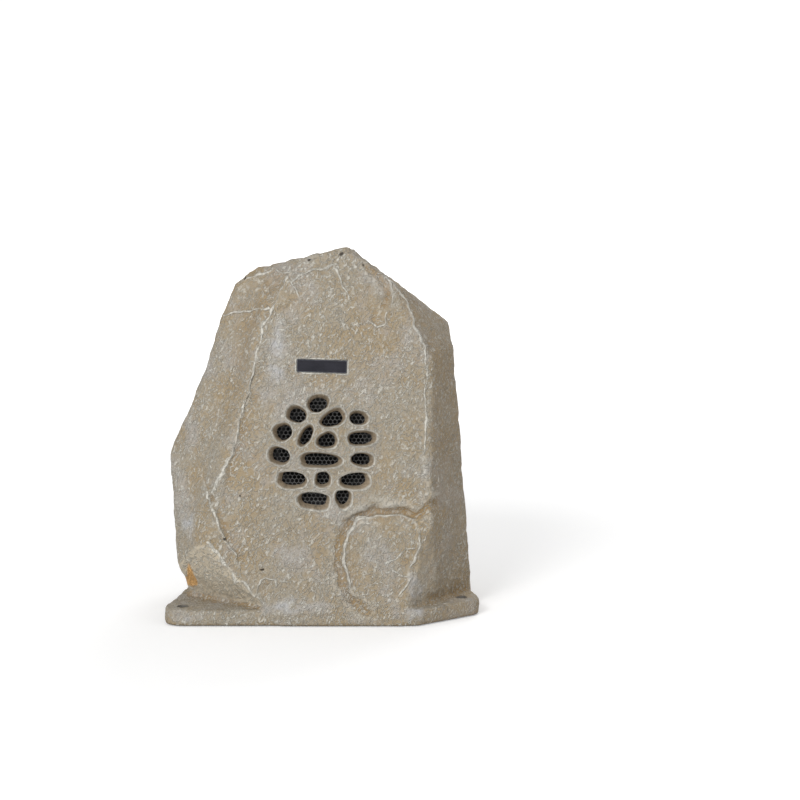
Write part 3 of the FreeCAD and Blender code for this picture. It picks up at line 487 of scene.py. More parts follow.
# %% Split the faces near the lines
PANEL_DEPTH, RIM_PLACE, NEAR_LINE, HIDDEN = 12, 1.4, 3.2, 20
places, normals, pairs, across, upward, facing, on_panel = look(rock)
rim_gap = np.where(np.abs(on_panel[:, 2]) < PANEL_DEPTH, np.abs(off_openings() - RIM_PLACE), 99)
line_away = np.min([off_line(line)[0] for line in PAINTED] + [rim_gap], axis=0) + HIDDEN * (facing < 0.1)
bm = bmesh.new()
bm.from_mesh(rock.data)
bm.verts.ensure_lookup_table()
near = line_away < NEAR_LINE
chosen = [edge for edge in bm.edges if near[edge.verts[0].index] and near[edge.verts[1].index]]
bmesh.ops.subdivide_edges(bm, edges=chosen, cuts=1, use_grid_fill=True)
bm.to_mesh(rock.data)
bm.free()
places, normals, pairs, across, upward, facing, on_panel = look(rock)
seen = np.clip(facing * 4, 0, 1)
print("skin", len(places), "points after splitting", len(chosen), "edges")

# %% [markdown]
# ## Relief that the photograph shows
# A point moves along its normal by its distance from each line, so one function serves a raised seam and a
# groove, and another a step that drops on one side. Only faces turned to the front take them.


# %% Seams, grooves and steps
def mound(away, width):
    """1 on a line, fading out over a width."""
    return np.exp(-(away / width) ** 2)


def seam(line, height, width):
    return height * mound(off_line(line)[0], width)


def step(line, height, reach, soft=1.5):
    """A drop on the right of a line, which fades out over its reach."""
    away, side = off_line(line)
    edge = 0.5 - 0.5 * np.tanh(away * side / soft)
    return -height * edge * mound(away, reach)


SEAMS = [(LEFT_RIDGE, 1.6, 5), (RIGHT_RIDGE, 1.6, 4.5), (SHOULDER, 1.5, 4), (BROW, -2.8, 4),
         (SHELL_MARK, 0.9, 3), (FOOT, 1.3, 3), (CURL, 0.9, 2.4), (FLAKE, 1.8, 2.2)]
SEAMS += [(line, 0.7, 2.4) for line in CRACKS] + [(line, 0.5, 1.2) for line in PAINTED]
STEPS = [(LEFT_RIDGE[:5], 3.0, 22, 4), (LEFT_RIDGE[4:][::-1], 3.4, 20, 2.5), (FLAKE[::-1], 2.4, 16)]
PIT_DEPTH, PIT_STRETCH = 2.0, 1.7
relief = sum(seam(*row) for row in SEAMS) + sum(step(*row) for row in STEPS)
pitted = np.zeros(len(places))
for x, y, radius in PITS:
    away = ((across - x) / PIT_STRETCH / radius) ** 2 + ((upward - y) / radius) ** 2
    pitted += np.exp(-away ** 2) * seen
relief -= PIT_DEPTH * pitted
print("relief", relief.min().round(1), "to", relief.max().round(1), "mm")

# %% [markdown]
# ## The boulder on the lower right
# A second stone swells out of the front, under a ledge that overhangs it. Its rim is a bright, chipped line,
# and a groove runs round its left side. An oval tells inside from outside: the swelling fills it, and the
# groove is the band beyond it, along the rim.

# %% Boulder, groove and ledge
BOULDER_X, BOULDER_Z, BOULDER_WIDE, BOULDER_HIGH = 66, 74, 44, 52
GROOVE_DEPTH, GROOVE_WIDTH = 6.2, 11
middle = np.hypot((across - BOULDER_X) / BOULDER_WIDE, (upward - BOULDER_Z) / BOULDER_HIGH)
inside = np.clip((1.12 - middle) * 6, 0, 1)
outside = np.clip((1.35 - middle) * 5, 0, 1) * (1 - inside)
on_the_left = np.clip((70 - across) / 20, 0.25, 1)
relief += inside * (2.6 - 2.0 * middle ** 2) + seam(BOULDER, 1.9, 2.6)
relief -= outside * on_the_left * seam(BOULDER, GROOVE_DEPTH, GROOVE_WIDTH)
relief += seam([(x, y + 7) for x, y in LEDGE], 2.4, 7) + step(LEDGE, 4.4, 9)
relief += seam([(x, y - 6) for x, y in LEDGE[1:5]], -2.2, 4)
relief *= seen
print("boulder", relief.min().round(1), "to", relief.max().round(1), "mm")

# %% [markdown]
# ## Lips round the openings
# The openings were pressed by hand into soft material, so each has a swollen lip with a thin, pale rim. The
# lips are raised here, and the holes are cut later. The rims of the openings and of the plate are pale as the
# drawn lines are, so the distance from the nearest of them is worked out once for all.


# %% Lips
def fall(values, end, over):
    """1 until a ramp down to 0, which ends at a place."""
    return np.clip((end - values) / over, 0, 1)


DENT_SIZE = 22
LIP_HEIGHT, LIP_WIDTH, RIM_HEIGHT, RIM_WIDTH = 0.7, 2.6, 0.35, 1.0
gap = off_openings()
to_plate = np.array(PLATE.inverted())
on_plate = places @ to_plate[:3, :3].T + to_plate[:3, 3] / MM
dents = weather(places, DENT_SIZE, 2)
near_panel = fall(np.abs(on_panel[:, 2]), PANEL_DEPTH, PANEL_DEPTH) * seen
lips = LIP_HEIGHT * mound(gap - LIP_WIDTH, LIP_WIDTH) + RIM_HEIGHT * mound(gap - RIM_PLACE, RIM_WIDTH)
lips *= near_panel
cluster = fall(gap, 14, 10) * near_panel
print("lips up to", lips.max().round(2), "mm")

# %% Distance from anything pale
off_panel = HIDDEN * (1 - near_panel)
plate_gap = np.max(np.abs(on_plate[:, :2]) - np.array(PLATE_SIZE) / 2, axis=1)
line_away = np.min([
    np.min([off_line(line)[0] for line in PAINTED], axis=0) + HIDDEN * (1 - seen),
    off_line(BOULDER[1:6])[0] - 0.9,
    np.abs(plate_gap - 1.6) + off_panel + 0.5,
    np.abs(gap - 1.2 - 0.8 * dents) + off_panel + 0.45,
], axis=0)
print("points on pale lines", int((line_away < 1).sum()))

# %% [markdown]
# ## Weathering all round
# The rest is uneven as cast stone is: slow swells, thumb-sized dents and a fine grain. Three sizes of noise
# do this, each from a fixed seed, and they are held back near the openings and the foot, which fit other
# pieces. The left side is a little fuller than its flat faces, low down and again at the shoulder.

# %% Noise over the skin
SWELL_SIZE, SWELL, GRAIN_SIZE = 60, 1.5, 8.0
FULLER_LOW, FULLER_HIGH = 4.6, 3.6
DEEPEST, HIGHEST = -6.5, 5.5
swell = weather(places, SWELL_SIZE, 1)
grain = weather(places, GRAIN_SIZE, 3, 3)
steady = 1 - cluster
height = places[:, 2]
foot_hold = rise(height, 2, 14)
leftward = rise(-spread(normals, pairs, 30)[:, 0], 0.2, 0.5)
fuller = FULLER_LOW * rise(height, 26, 30) * fall(height, 235, 60) + FULLER_HIGH * rise(height, 270, 40)
rougher = 0.75 + 0.6 * rise(height, 330, 40)
moved = relief + lips + foot_hold * steady * (SWELL * swell + dents) + leftward * fuller
moved += (0.25 + 0.75 * foot_hold) * (0.35 + 0.65 * steady) * rougher * grain
moved = np.clip(moved, DEEPEST, HIGHEST)
write_skin(rock, places + normals * moved[:, None])
print("moved", moved.min().round(1), "to", moved.max().round(1), "mm")

# %% [markdown]
# ## What stands out and what lies deep
# The paint was brushed nearly dry over the dark cast, so raised edges are pale and hollows stay ochre. The
# skin itself says which is which: crests stand above the average of their surroundings, hollows lie below
# it. The ochre mask also holds painted shade: along the foot, under the ledge and the brow, and in the
# valley left of the ridge. The right side takes painted shade and fewer pale strokes, and a few pale smears
# lie about. The overhang low on the left and the shoulder on the right take painted bounce light, a paler
# warm tint. For the drawn lines, the distance from them is kept, so that the material can draw them finer
# than the mesh is. All of it goes into attributes that the material reads.

# %% Measure crests and hollows
FINE_ROUNDS, BROAD_ROUNDS, CREST_FULL = 12, 90, 0.6
places, _, pairs = read_skin(rock)
height = places[:, 2]
form = relief + lips
fine = form - spread(form, pairs, FINE_ROUNDS)
broad = ((places - spread(places, pairs, BROAD_ROUNDS)) * normals).sum(1)
crest = np.clip(fine / CREST_FULL, 0, 1)
# The overhang low on the left faces down: it takes painted bounce light and less ochre.
undercut = rise(-normals[:, 2], 0.12, 0.2) * (across < -40) * (height < 105) * (height > 16)
under_ledge = [(x, y - 4) for x, y in LEDGE]
left_valley = [(x - 14, y) for x, y in LEFT_RIDGE[:5]]
# Ochre wash in the hollows; the foot band, the band under the ledge, the brow and the valley left of the
# ridge add painted shade.
hollow = np.max([
    rise(-broad, 0.25, 1.3) * (1 - 0.6 * undercut),
    fall(height, 4, 3),
    seam(under_ledge, 1, 7) * seen,
    seam(BROW, 1, 4) * seen,
    seam(left_valley, 0.75, 11) * seen,
], axis=0)
print("crest points", int((crest > 0.5).sum()), "hollow points", int((hollow > 0.5).sum()))

# %% Pale smears, the lit shoulder and the bare chip
SMEARS = ((102, 40, 7, 13), (-148, 114, 11, 13), (-30, 22, 30, 9), (98, 13, 12, 6), (-148, 10, 10, 6),
          (-50, 300, 9, 32))
CHIP_X, CHIP_Z, CHIP_WIDE, CHIP_HIGH = -146, 53, 5.0, 14
smear = np.zeros(len(places))
for x, y, wide, high in SMEARS:
    away = np.hypot((across - x) / wide, (upward - y) / high)
    smear = np.maximum(smear, np.clip(1.3 - away + 0.8 * dents, 0, 1) * seen)
# The shoulder band on the right takes painted bounce light.
shoulder = np.clip(1 - np.abs(across - 110) / 18 + 0.4 * dents, 0, 1) * fall(upward, 110, 20)
shoulder *= rise(upward, 16, 8) * (normals[:, 0] > 0.2) * seen
chip = np.hypot((across - CHIP_X) / CHIP_WIDE, (upward - CHIP_Z) / CHIP_HIGH) + 0.35 * dents
chip = np.clip((1.0 - chip) * 6, 0, 1) * fall(places[:, 1], -48, 4)
print("smeared points", int((smear > 0.5).sum()), "chipped points", int((chip > 0.5).sum()))


# %% Keep the masks on the mesh
def keep(piece, name, values):
    layer = piece.data.attributes.new(name, "FLOAT", "POINT")
    layer.data.foreach_set("value", values.astype(np.float32))


MASKS = {
    "crest": crest,
    "hollow": hollow,
    "chip": chip,
    "smear": smear,
    # painted bounce light: the left overhang and the right shoulder are tinted paler
    "bounce": np.maximum(undercut, 0.5 * shoulder),
    "line": np.clip(line_away / 10, 0, 1),
    "pit": pitted,
    # painted shade on the right-facing side, which also takes fewer pale strokes
    "right_shade_and_sparse_paint": np.clip(normals[:, 0] * 1.5 - 0.35, 0, 1),
}
for name, values in MASKS.items():
    keep(rock, name, values)
print("masks", list(MASKS))

# %% [markdown]
# ## Thin out the unseen sides
# The front needs small faces, and the back and the underside can do with fewer. A vertex group tells the
# Decimate modifier where it may collapse edges.

# %% Thin the skin
THINNED = 0.42
spare = np.clip(0.9 - facing * 3, 0.0, 1.0)
group = rock.vertex_groups.new(name="spare")
for level in np.linspace(0.1, 1.0, 10):
    members = np.nonzero(np.round(spare, 1) == np.round(level, 1))[0]
    group.add(members.tolist(), float(level), "REPLACE")
thin = rock.modifiers.new("thin", "DECIMATE")
thin.ratio = THINNED
thin.vertex_group = "spare"
settle(rock)
rock.vertex_groups.clear()
print("thinned skin", triangles(rock), "triangles")

# %% [markdown]
# ## Hollow, rim and ledge
# Inside, the casting is open from below. Three blocks from the same planes make the chamber, the ledge the
# cover is screwed to and the rebate that takes the cover. The front keeps a thicker wall, which the driver
# seats on. Balls a wall larger than the scoops are taken off each block first.

# %% Open the inside
SHELL, CHAMBER_FLOOR = 8, 25
THROAT_INSET, THROAT_LOW, THROAT_HIGH = 26, 12, 26
REBATE_INSET, REBATE_LOW, REBATE_HIGH = 10, -5, 13
chamber = block("chamber", SHELL, CHAMBER_FLOOR, TALL, front_inset=WALL)
throat = block("throat", THROAT_INSET, THROAT_LOW, THROAT_HIGH, chipped=False)
rebate = block("rebate", REBATE_INSET, REBATE_LOW, REBATE_HIGH, chipped=False)
combine(chamber, scoops(SHELL) + dells(SHELL), "DIFFERENCE")
combine(throat, scoops(THROAT_INSET), "DIFFERENCE")
combine(rebate, scoops(REBATE_INSET), "DIFFERENCE")
combine(rock, [chamber, throat, rebate], "DIFFERENCE")
print("hollow rock", triangles(rock), "triangles")

# %% [markdown]
# ## Cut the openings
# Each cutter is a stack of outlines in the panel's frame. It flares at the mouth, which leaves a rounded
# rim, and narrows towards the back, drawn in to the cluster's middle. A slow wobble from a fixed seed keeps
# any two rims from being alike.

# %% Flared cutters
FLARE = ((6.0, 4.4), (1.8, 2.2), (0.8, 1.5), (-0.2, 0.9), (-1.4, 0.4), (-3.0, 0.1), (-6.0, 0.0), (-11.0, 0.0),
         (-17.0, 0.0))
TAPER, CONVERGE = 0.78, 0.95
AROUND = 44


def opening_ring(spot, depth, grown, seed):
    x, y, long, wide, tilt, egg, square = spot
    back = max(0, -depth / WALL)
    scale = 1 + back * (TAPER - 1)
    drawn = 1 + back * (CONVERGE - 1)
    turn = math.radians(tilt)
    ring = []
    for k in range(AROUND):
        angle = 2 * math.pi * k / AROUND
        c, s = math.cos(angle), math.sin(angle)
        slow = noise.noise(Vector((2 * c, 2 * s, seed * 3.3)))
        quick = noise.noise(Vector((4 * c, 4 * s, seed * 5.7)))
        wobble = 1 + 0.06 * slow + 0.04 * quick
        u = (long * wobble * scale + grown) * math.copysign(abs(c) ** (2 / square), c)
        v = (wide * wobble * scale + grown) * math.copysign(abs(s) ** (2 / square), s) * (1 - egg * c)
        ring.append((x * drawn + u * math.cos(turn) - v * math.sin(turn),
                     y * drawn + u * math.sin(turn) + v * math.cos(turn), depth))
    return ring


cutters = [body("cutter", [opening_ring(spot, depth, grown, seed) for depth, grown in FLARE], PANEL)
           for seed, spot in enumerate(OPENINGS)]
combine(rock, cutters, "DIFFERENCE")
print("pierced rock", triangles(rock), "triangles")

# %% [markdown]
# ## Seats, holes and the cable notch
# The lugs get their screw holes, the panel a shallow seat for the name plate, the rim an arched notch for
# the cable inlet, and the walls the pilot holes of the screws.


# %% Cut the small features
def to_world(x, y, z):
    return PANEL @ Vector((x * MM, y * MM, z * MM)) / MM


def rectangle(half_x, half_y, z, corner=0.0, steps=4):
    """A rectangle's corners, rounded if a radius is given."""
    ring = []
    for quarter, (sx, sy) in enumerate(((1, 1), (-1, 1), (-1, -1), (1, -1))):
        x, y = sx * (half_x - corner), sy * (half_y - corner)
        for k in range(steps + 1 if corner else 1):
            a = math.radians(90 * (quarter + k / steps))
            ring.append((x + corner * math.cos(a), y + corner * math.sin(a), z))
    return ring


def plate_rings(levels, corner):
    """The plate's outline at each level, drawn in or let out."""
    half_x, half_y = PLATE_SIZE[0] / 2, PLATE_SIZE[1] / 2
    return [rectangle(half_x - inset, half_y - inset, z, corner) for z, inset in levels]


LUG_HOLE = ((-4, 3.5), (13, 3.5), (16.5, 4.6), (19.5, 6.6), (24, 6.8))
PLATE_SEAT = ((6, -1.6), (0.4, -0.9), (-0.6, -0.5), (-2, -0.3))
DRIVER_CIRCLE, PILOT_RADIUS, PILOT_LOW, PILOT_HIGH = 78, 2.05, -16, 10 - WALL
NOTCH_Y, NOTCH_HALF, NOTCH_TOP, NOTCH_ENDS = 50, 7.5, 11, (-180, -93)
holes = [body("lug_hole", [circle(r, z, 24, x, y) for z, r in LUG_HOLE]) for x, y, _ in LUGS.values()]
driver_spots = [spot.xy for spot in circle(DRIVER_CIRCLE, count=4)]
for x, y in driver_spots:
    holes.append(rod("pilot", to_world(x, y, PILOT_LOW), to_world(x, y, PILOT_HIGH), PILOT_RADIUS, 12))
holes.append(body("plate_seat", plate_rings(PLATE_SEAT, 1.2), PLATE))
arch = [(NOTCH_Y - NOTCH_HALF, -4), (NOTCH_Y + NOTCH_HALF, -4)]
arch += [(NOTCH_Y + NOTCH_HALF * math.cos(a), NOTCH_TOP - NOTCH_HALF + NOTCH_HALF * math.sin(a))
         for a in np.linspace(0, math.pi, 13)]
holes.append(body("notch", [[(x, y, z) for y, z in arch] for x in NOTCH_ENDS]))
combine(rock, holes, "DIFFERENCE")
print("finished rock", triangles(rock), "triangles")

# %% Painted shade in the bores, lug holes and bottom edge
BORED_R, HOLE_DARK_R = 75, 6.2
places, *_, on_panel = look(rock)
height, deep = places[:, 2], -on_panel[:, 2]
# Painted shade: the walls inside the openings are marked for a warm brown.
bored = rise(deep, 0.6, 2.2) * (deep < 20) * (np.hypot(*on_panel[:, :2].T) < BORED_R)
lug_away = np.min([np.hypot(places[:, 0] - x, places[:, 1] - y) for x, y, _ in LUGS.values()], axis=0)
# Painted shade: the lug holes and a band along the bottom edge are marked for near-black.
bottom = 0.7 * fall(height, 1.8, 1.8)
keep(rock, "bore", bored)
keep(rock, "dark", np.maximum(bottom, (lug_away < HOLE_DARK_R) * (height < 25)))
print("bored points", int((bored > 0.5).sum()))

# %% [markdown]
# ## Shading of the rock's skin
# Smooth shading suits the skin, and the cut edges of holes and seats stay crisp: an edge sharper than fifty
# degrees splits its normals.


# %% Shade and hand the rock over
def shade(piece, angle):
    piece.data.shade_smooth()
    piece.data.set_sharp_from_angle(angle=math.radians(angle))


shade(rock, 50)
rock.name = "rock_casting"
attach(rock, "housing")
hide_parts("rock_shell")
print("rock rides on the housing")

# %% [markdown]
# ## The perforated sheet
# Behind the openings lies a black steel sheet with small six-sided holes. The CAD has fewer and larger holes.
# Here each cell of a honeycomb is a ring of six quads between the hole and the cell, which wastes no faces,
# and the outer edge is trimmed by a disc.

# %% Weave the sheet from cells
PITCH, HOLE, SHEET_R, PIERCED_R, SHEET_THICK = 4.7, 4.05, 83, 66, 0.7
bm = bmesh.new()
cell_r, hole_r = PITCH / math.sqrt(3), HOLE / math.sqrt(3)
turns = [math.radians(30 + 60 * k) for k in range(6)]
rows = int(SHEET_R / PITCH) + 4
for row in range(-rows, rows + 1):
    for column in range(-2 * rows, 2 * rows + 1):
        x, y = PITCH * (column + row / 2), PITCH * row * math.sqrt(3) / 2
        away = math.hypot(x, y)
        if away > SHEET_R + PITCH:
            continue
        outer = [bm.verts.new((x + cell_r * math.cos(t), y + cell_r * math.sin(t), 0)) for t in turns]
        if away > PIERCED_R:
            bm.faces.new(outer)
            continue
        inner = [bm.verts.new((x + hole_r * math.cos(t), y + hole_r * math.sin(t), 0)) for t in turns]
        for k in range(6):
            bm.faces.new((inner[k - 1], outer[k - 1], outer[k], inner[k]))
bmesh.ops.remove_doubles(bm, verts=bm.verts, dist=0.01)
thicken(bm, bm.faces[:], (0, 0, -SHEET_THICK))
behind_wall = PANEL @ Matrix.Translation((0, 0, -WALL * MM)) @ Matrix.Scale(MM, 4)
bmesh.ops.transform(bm, matrix=behind_wall, verts=bm.verts)
sheet = from_bmesh("grille_sheet", bm)
disc = rod("disc", to_world(0, 0, -WALL - 4), to_world(0, 0, -WALL + 3), SHEET_R, 96)
combine(sheet, [disc], "INTERSECT")
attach(sheet, "housing")
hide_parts("grille_mesh")
print("sheet", triangles(sheet), "triangles")

# %% [markdown]
# ## The name plate
# A small dark plate lies in its seat, a millimetre down, with a thin raised frame. It stays bare. The plate
# is a stack of rounded rectangles, and the frame is a second stack that closes into a hoop, so each takes its
# own material.

# %% Plate and frame
PLATE_LEVELS = ((-2.0, 0.0), (-1.4, 0.0), (-1.05, 0.1), (-0.9, 0.35), (-0.9, 0.9), (-1.2, 1.1))
FRAME_LEVELS = ((-1.2, 0.2), (-0.75, 0.2), (-0.6, 0.35), (-0.6, 0.75), (-0.75, 0.9), (-1.3, 0.9))
plate = body("name_plate_bare", plate_rings(PLATE_LEVELS, 1.0), PLATE)
plate_frame = body("name_plate_frame", plate_rings(FRAME_LEVELS, 0.9), PLATE, hoop=True)
for piece in (plate, plate_frame):
    shade(piece, 30)
    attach(piece, "housing")
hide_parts("name_plate")
print("plate", triangles(plate) + triangles(plate_frame), "triangles")

# %% [markdown]
# ## Surround and spider
# The cone is held by two soft rings: a rubber roll at its edge and a corrugated cloth disc at its neck. When
# the cone moves, their outer edges stay and their inner edges go with it. A rigid CAD ring can't do that.
# Both are turned again here as fine lathe bodies, in place of the CAD's rings.


# %% Turn the soft rings
def lathe(name, profile, around=96):
    """A ring turned about the driver's axis from (radius, depth behind the grille wall) corners."""
    piece = body(name, [circle(radius, -WALL - depth, around) for radius, depth in profile], PANEL, hoop=True)
    shade(piece, 45)
    return piece


ROLL_R, ROLL_DEPTH, ROLL_OUTER, ROLL_INNER = 57.4, 10.6, 5.4, 4.6
arc = np.linspace(0, math.pi, 17)
roll = [(71.8, 10.2)]
roll += [(ROLL_R + ROLL_OUTER * math.cos(a), ROLL_DEPTH - ROLL_OUTER * math.sin(a)) for a in arc[1:]]
roll += [(52.0, 12.4), (46.6, 12.4), (46.6, 13.2), (52.8, 13.2)]
roll += [(ROLL_R - ROLL_INNER * math.cos(a), ROLL_DEPTH - ROLL_INNER * math.sin(a)) for a in arc]
roll += [(62.0, 11.0), (71.8, 11.0)]
surround = lathe("surround_roll", roll)
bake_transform(surround)
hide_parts("driver_surround")

SPIDER_OUT, SPIDER_IN, SPIDER_DEPTH, SPIDER_LIFT, CLOTH = 34.8, 13.4, 41.4, 3.2, 0.6
front = [(39.8, SPIDER_DEPTH)]
for share in np.linspace(0, 1, 49):
    lift = SPIDER_LIFT * share + math.sin(6 * math.pi * share) * (1 - share)
    front.append((SPIDER_OUT + (SPIDER_IN - SPIDER_OUT) * share, SPIDER_DEPTH - lift))
spider = lathe("spider_disc", front + [(r, d + CLOTH) for r, d in reversed(front)])
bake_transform(spider)
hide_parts("driver_spider")
print("soft rings", triangles(surround) + triangles(spider), "triangles")

# %% [markdown]
# ## Screws
# Each CAD screw is a plain pan head. These carry a cross recess, which is two narrow wedges cut out of the
# head. One screw is made and copied to every place of its node.


# %% Cross-headed screws
def screw_body(length):
    """A screw along +Z with its head below zero, in millimetres."""
    profile = [(0.02, -2.6), (1.6, -2.55), (2.8, -2.2), (3.5, -1.5), (3.8, -0.7), (3.8, 0.0), (2.0, 0.0),
               (2.0, length - 2), (0.3, length)]
    wedge = [rectangle(1.9, 0.42, -3.2), rectangle(1.1, 0.3, -1.1)]
    wedges = [body("wedge", wedge, Matrix.Rotation(math.radians(turn), 4, "Z")) for turn in (0, 90)]
    return combine(body("screw", [circle(r, z) for r, z in profile]), wedges, "DIFFERENCE")


def fasten(name, node, length, frames):
    screw = screw_body(length)
    bm = bmesh.new()
    for matrix in frames:
        copy = screw.data.copy()
        copy.transform(matrix)
        bm.from_mesh(copy)
    bpy.data.objects.remove(screw)
    piece = from_bmesh(name, bm)
    shade(piece, 35)
    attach(piece, "housing")
    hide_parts(node)
    return piece


def islands(node, reach=0.006):
    """The separate solids of a node, each as an array of its vertices."""
    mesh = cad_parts[node].data
    points = np.array([v.co for v in mesh.vertices])
    groups = []
    left = np.ones(len(points), bool)
    while left.any():
        middle = points[np.argmax(left)]
        for _ in range(3):
            near = left & (np.hypot(*(points - middle)[:, :2].T) < reach)
            middle = points[near].mean(0)
        groups.append(points[near])
        left &= ~near
    return groups


def on_islands(node, height):
    return [Matrix.Translation((*group[:, :2].mean(0), height)) for group in islands(node)]


BASE_SEAT, STRAP_SEAT, DRIVER_SEAT = 0.006, 0.0122, (-WALL - 7.4) * MM
base_frames = on_islands("base_screws", BASE_SEAT)
base_screws = fasten("base_screw_set", "base_screws", 16, base_frames)
turned = Matrix.Rotation(math.pi, 4, "X")
strap_frames = [place @ turned for place in on_islands("transformer_screws", STRAP_SEAT)]
strap_screws = fasten("strap_screw_set", "transformer_screws", 5.15, strap_frames)
driver_frames = [PANEL @ Matrix.Translation((x * MM, y * MM, DRIVER_SEAT)) for x, y in driver_spots]
driver_screws = fasten("driver_screw_set", "driver_screws", 16.4, driver_frames)
print("screws", len(base_frames), len(strap_frames), len(driver_frames))

# %% [markdown]
# ## Node helpers
# Materials are written as small node trees, and a few helpers keep them short: one adds a node with its
# values or links, one starts a material with its Principled BSDF, one links a finished surface to it, and the
# others add the nodes that come up most. Shared effects are node groups with named sockets.


# %% Node helpers
def add(tree, kind, values=None, **settings):
    node = tree.nodes.new(kind)
    for name, value in settings.items():
        setattr(node, name, value)
    for name, value in (values or {}).items():
        if isinstance(value, bpy.types.NodeSocket):
            tree.links.new(value, node.inputs[name])
        else:
            node.inputs[name].default_value = value
    return node


def new_group(name, inputs, outputs):
    tree = bpy.data.node_groups.new(name, "ShaderNodeTree")
    for label, kind, value in inputs:
        made = tree.interface.new_socket(label, in_out="INPUT", socket_type="NodeSocket" + kind)
        if value is not None:
            made.default_value = value
    for label, kind in outputs:
        tree.interface.new_socket(label, in_out="OUTPUT", socket_type="NodeSocket" + kind)
    return tree, tree.nodes.new("NodeGroupInput").outputs, tree.nodes.new("NodeGroupOutput").inputs


def use(tree, group, values):
    return add(tree, "ShaderNodeGroup", values, node_tree=group).outputs


def start(name):
    material = bpy.data.materials.new(name)
    material.use_nodes = True
    tree = material.node_tree
    return material, tree, tree.nodes["Principled BSDF"]


def math_node(tree, operation, one, two=0.5, clamp=False):
    return add(tree, "ShaderNodeMath", {0: one, 1: two}, operation=operation, use_clamp=clamp).outputs[0]


def times(tree, one, two):
    return math_node(tree, "MULTIPLY", one, two)


def cloud(tree, where, scale, detail, rough=0.5, distortion=0.0, output="Fac"):
    values = {"Vector": where, "Scale": scale, "Detail": detail, "Roughness": rough, "Distortion": distortion}
    return add(tree, "ShaderNodeTexNoise", values).outputs[output]


def tint(tree, amount, one, two):
    values = {"Factor": amount, "A": one, "B": two}
    return add(tree, "ShaderNodeMix", values, data_type="RGBA").outputs["Result"]


def ramp(tree, value, low, high, to_low=0.0, to_high=1.0):
    values = {"Value": value, "From Min": low, "From Max": high, "To Min": to_low, "To Max": to_high}
    return add(tree, "ShaderNodeMapRange", values).outputs["Result"]


def surface(tree, shader, colour, rough, height, strength, depth):
    """Link a colour, a roughness and a bump to a material's shader."""
    bump = add(tree, "ShaderNodeBump", {"Height": height, "Strength": strength, "Distance": depth})
    tree.links.new(colour, shader.inputs["Base Color"])
    tree.links.new(rough, shader.inputs["Roughness"])
    tree.links.new(bump.outputs[0], shader.inputs["Normal"])


def dress(piece, material):
    piece.data.materials.clear()
    piece.data.materials.append(material)


print("helpers ready")

# %% [markdown]
# ## Brush marks
# The casting's surface is covered with short, worm-like ridges a millimetre or so wide, left by the texture
# of the mould, and the pale paint sits on them. The lines of equal value in a stretched noise are thin and
# winding; a second noise breaks them into short strokes. The group gives the strokes as a mask, which serves
# the colour and the bump alike.

# %% Group: worm marks
worms, given, result = new_group(
    "Worm marks",
    [("Size", "Float", 0.005), ("Width", "Float", 0.08), ("Cover", "Float", 0.5)],
    [("Mask", "Float"), ("Grain", "Float")],
)
where = add(worms, "ShaderNodeTexCoord").outputs["Object"]
lean = {"Vector": where, "Rotation": (0.0, math.radians(-55), 0.0), "Scale": (1.5, 1.0, 0.85)}
slant = add(worms, "ShaderNodeMapping", lean, vector_type="TEXTURE").outputs[0]
scale = math_node(worms, "DIVIDE", 1.0, given["Size"])
lines = cloud(worms, slant, scale, 1.5, distortion=0.6)
off = math_node(worms, "ABSOLUTE", math_node(worms, "SUBTRACT", lines, 0.5))
thin_line = math_node(worms, "SUBTRACT", 1.0, math_node(worms, "DIVIDE", off, given["Width"]), clamp=True)
kept = ramp(worms, cloud(worms, where, times(worms, scale, 0.9), 1.0), 0.31, 0.46)
patches = times(worms, cloud(worms, where, times(worms, scale, 0.12), 3.0), 2.4)
cover = math_node(worms, "ADD", patches, math_node(worms, "SUBTRACT", given["Cover"], 1.2), clamp=True)
worms.links.new(times(worms, times(worms, thin_line, kept), cover), result["Mask"])
worms.links.new(cloud(worms, where, times(worms, scale, 2.6), 2.0), result["Grain"])
print("group", worms.name)

# %% [markdown]
# ## Cast stone, dry-brushed
# From below: a warm grey-beige cast, ochre washed into the hollows and in large clouds, grey clouds between
# them, pale paint on crests and worm marks, and one bare chip. Painted light lies among these washes: a brown
# painted shade on the right side and in the ochre of the foot, ledge, brow and left valley, painted bounce
# light under the left overhang and on the right shoulder, warm brown painted shade inside the openings, and
# near-black painted shade in pits, lug holes and along the bottom edge. Roughness is high and varies with the
# paint. Where the washes lie comes from the masks on the mesh, everything else from noise.

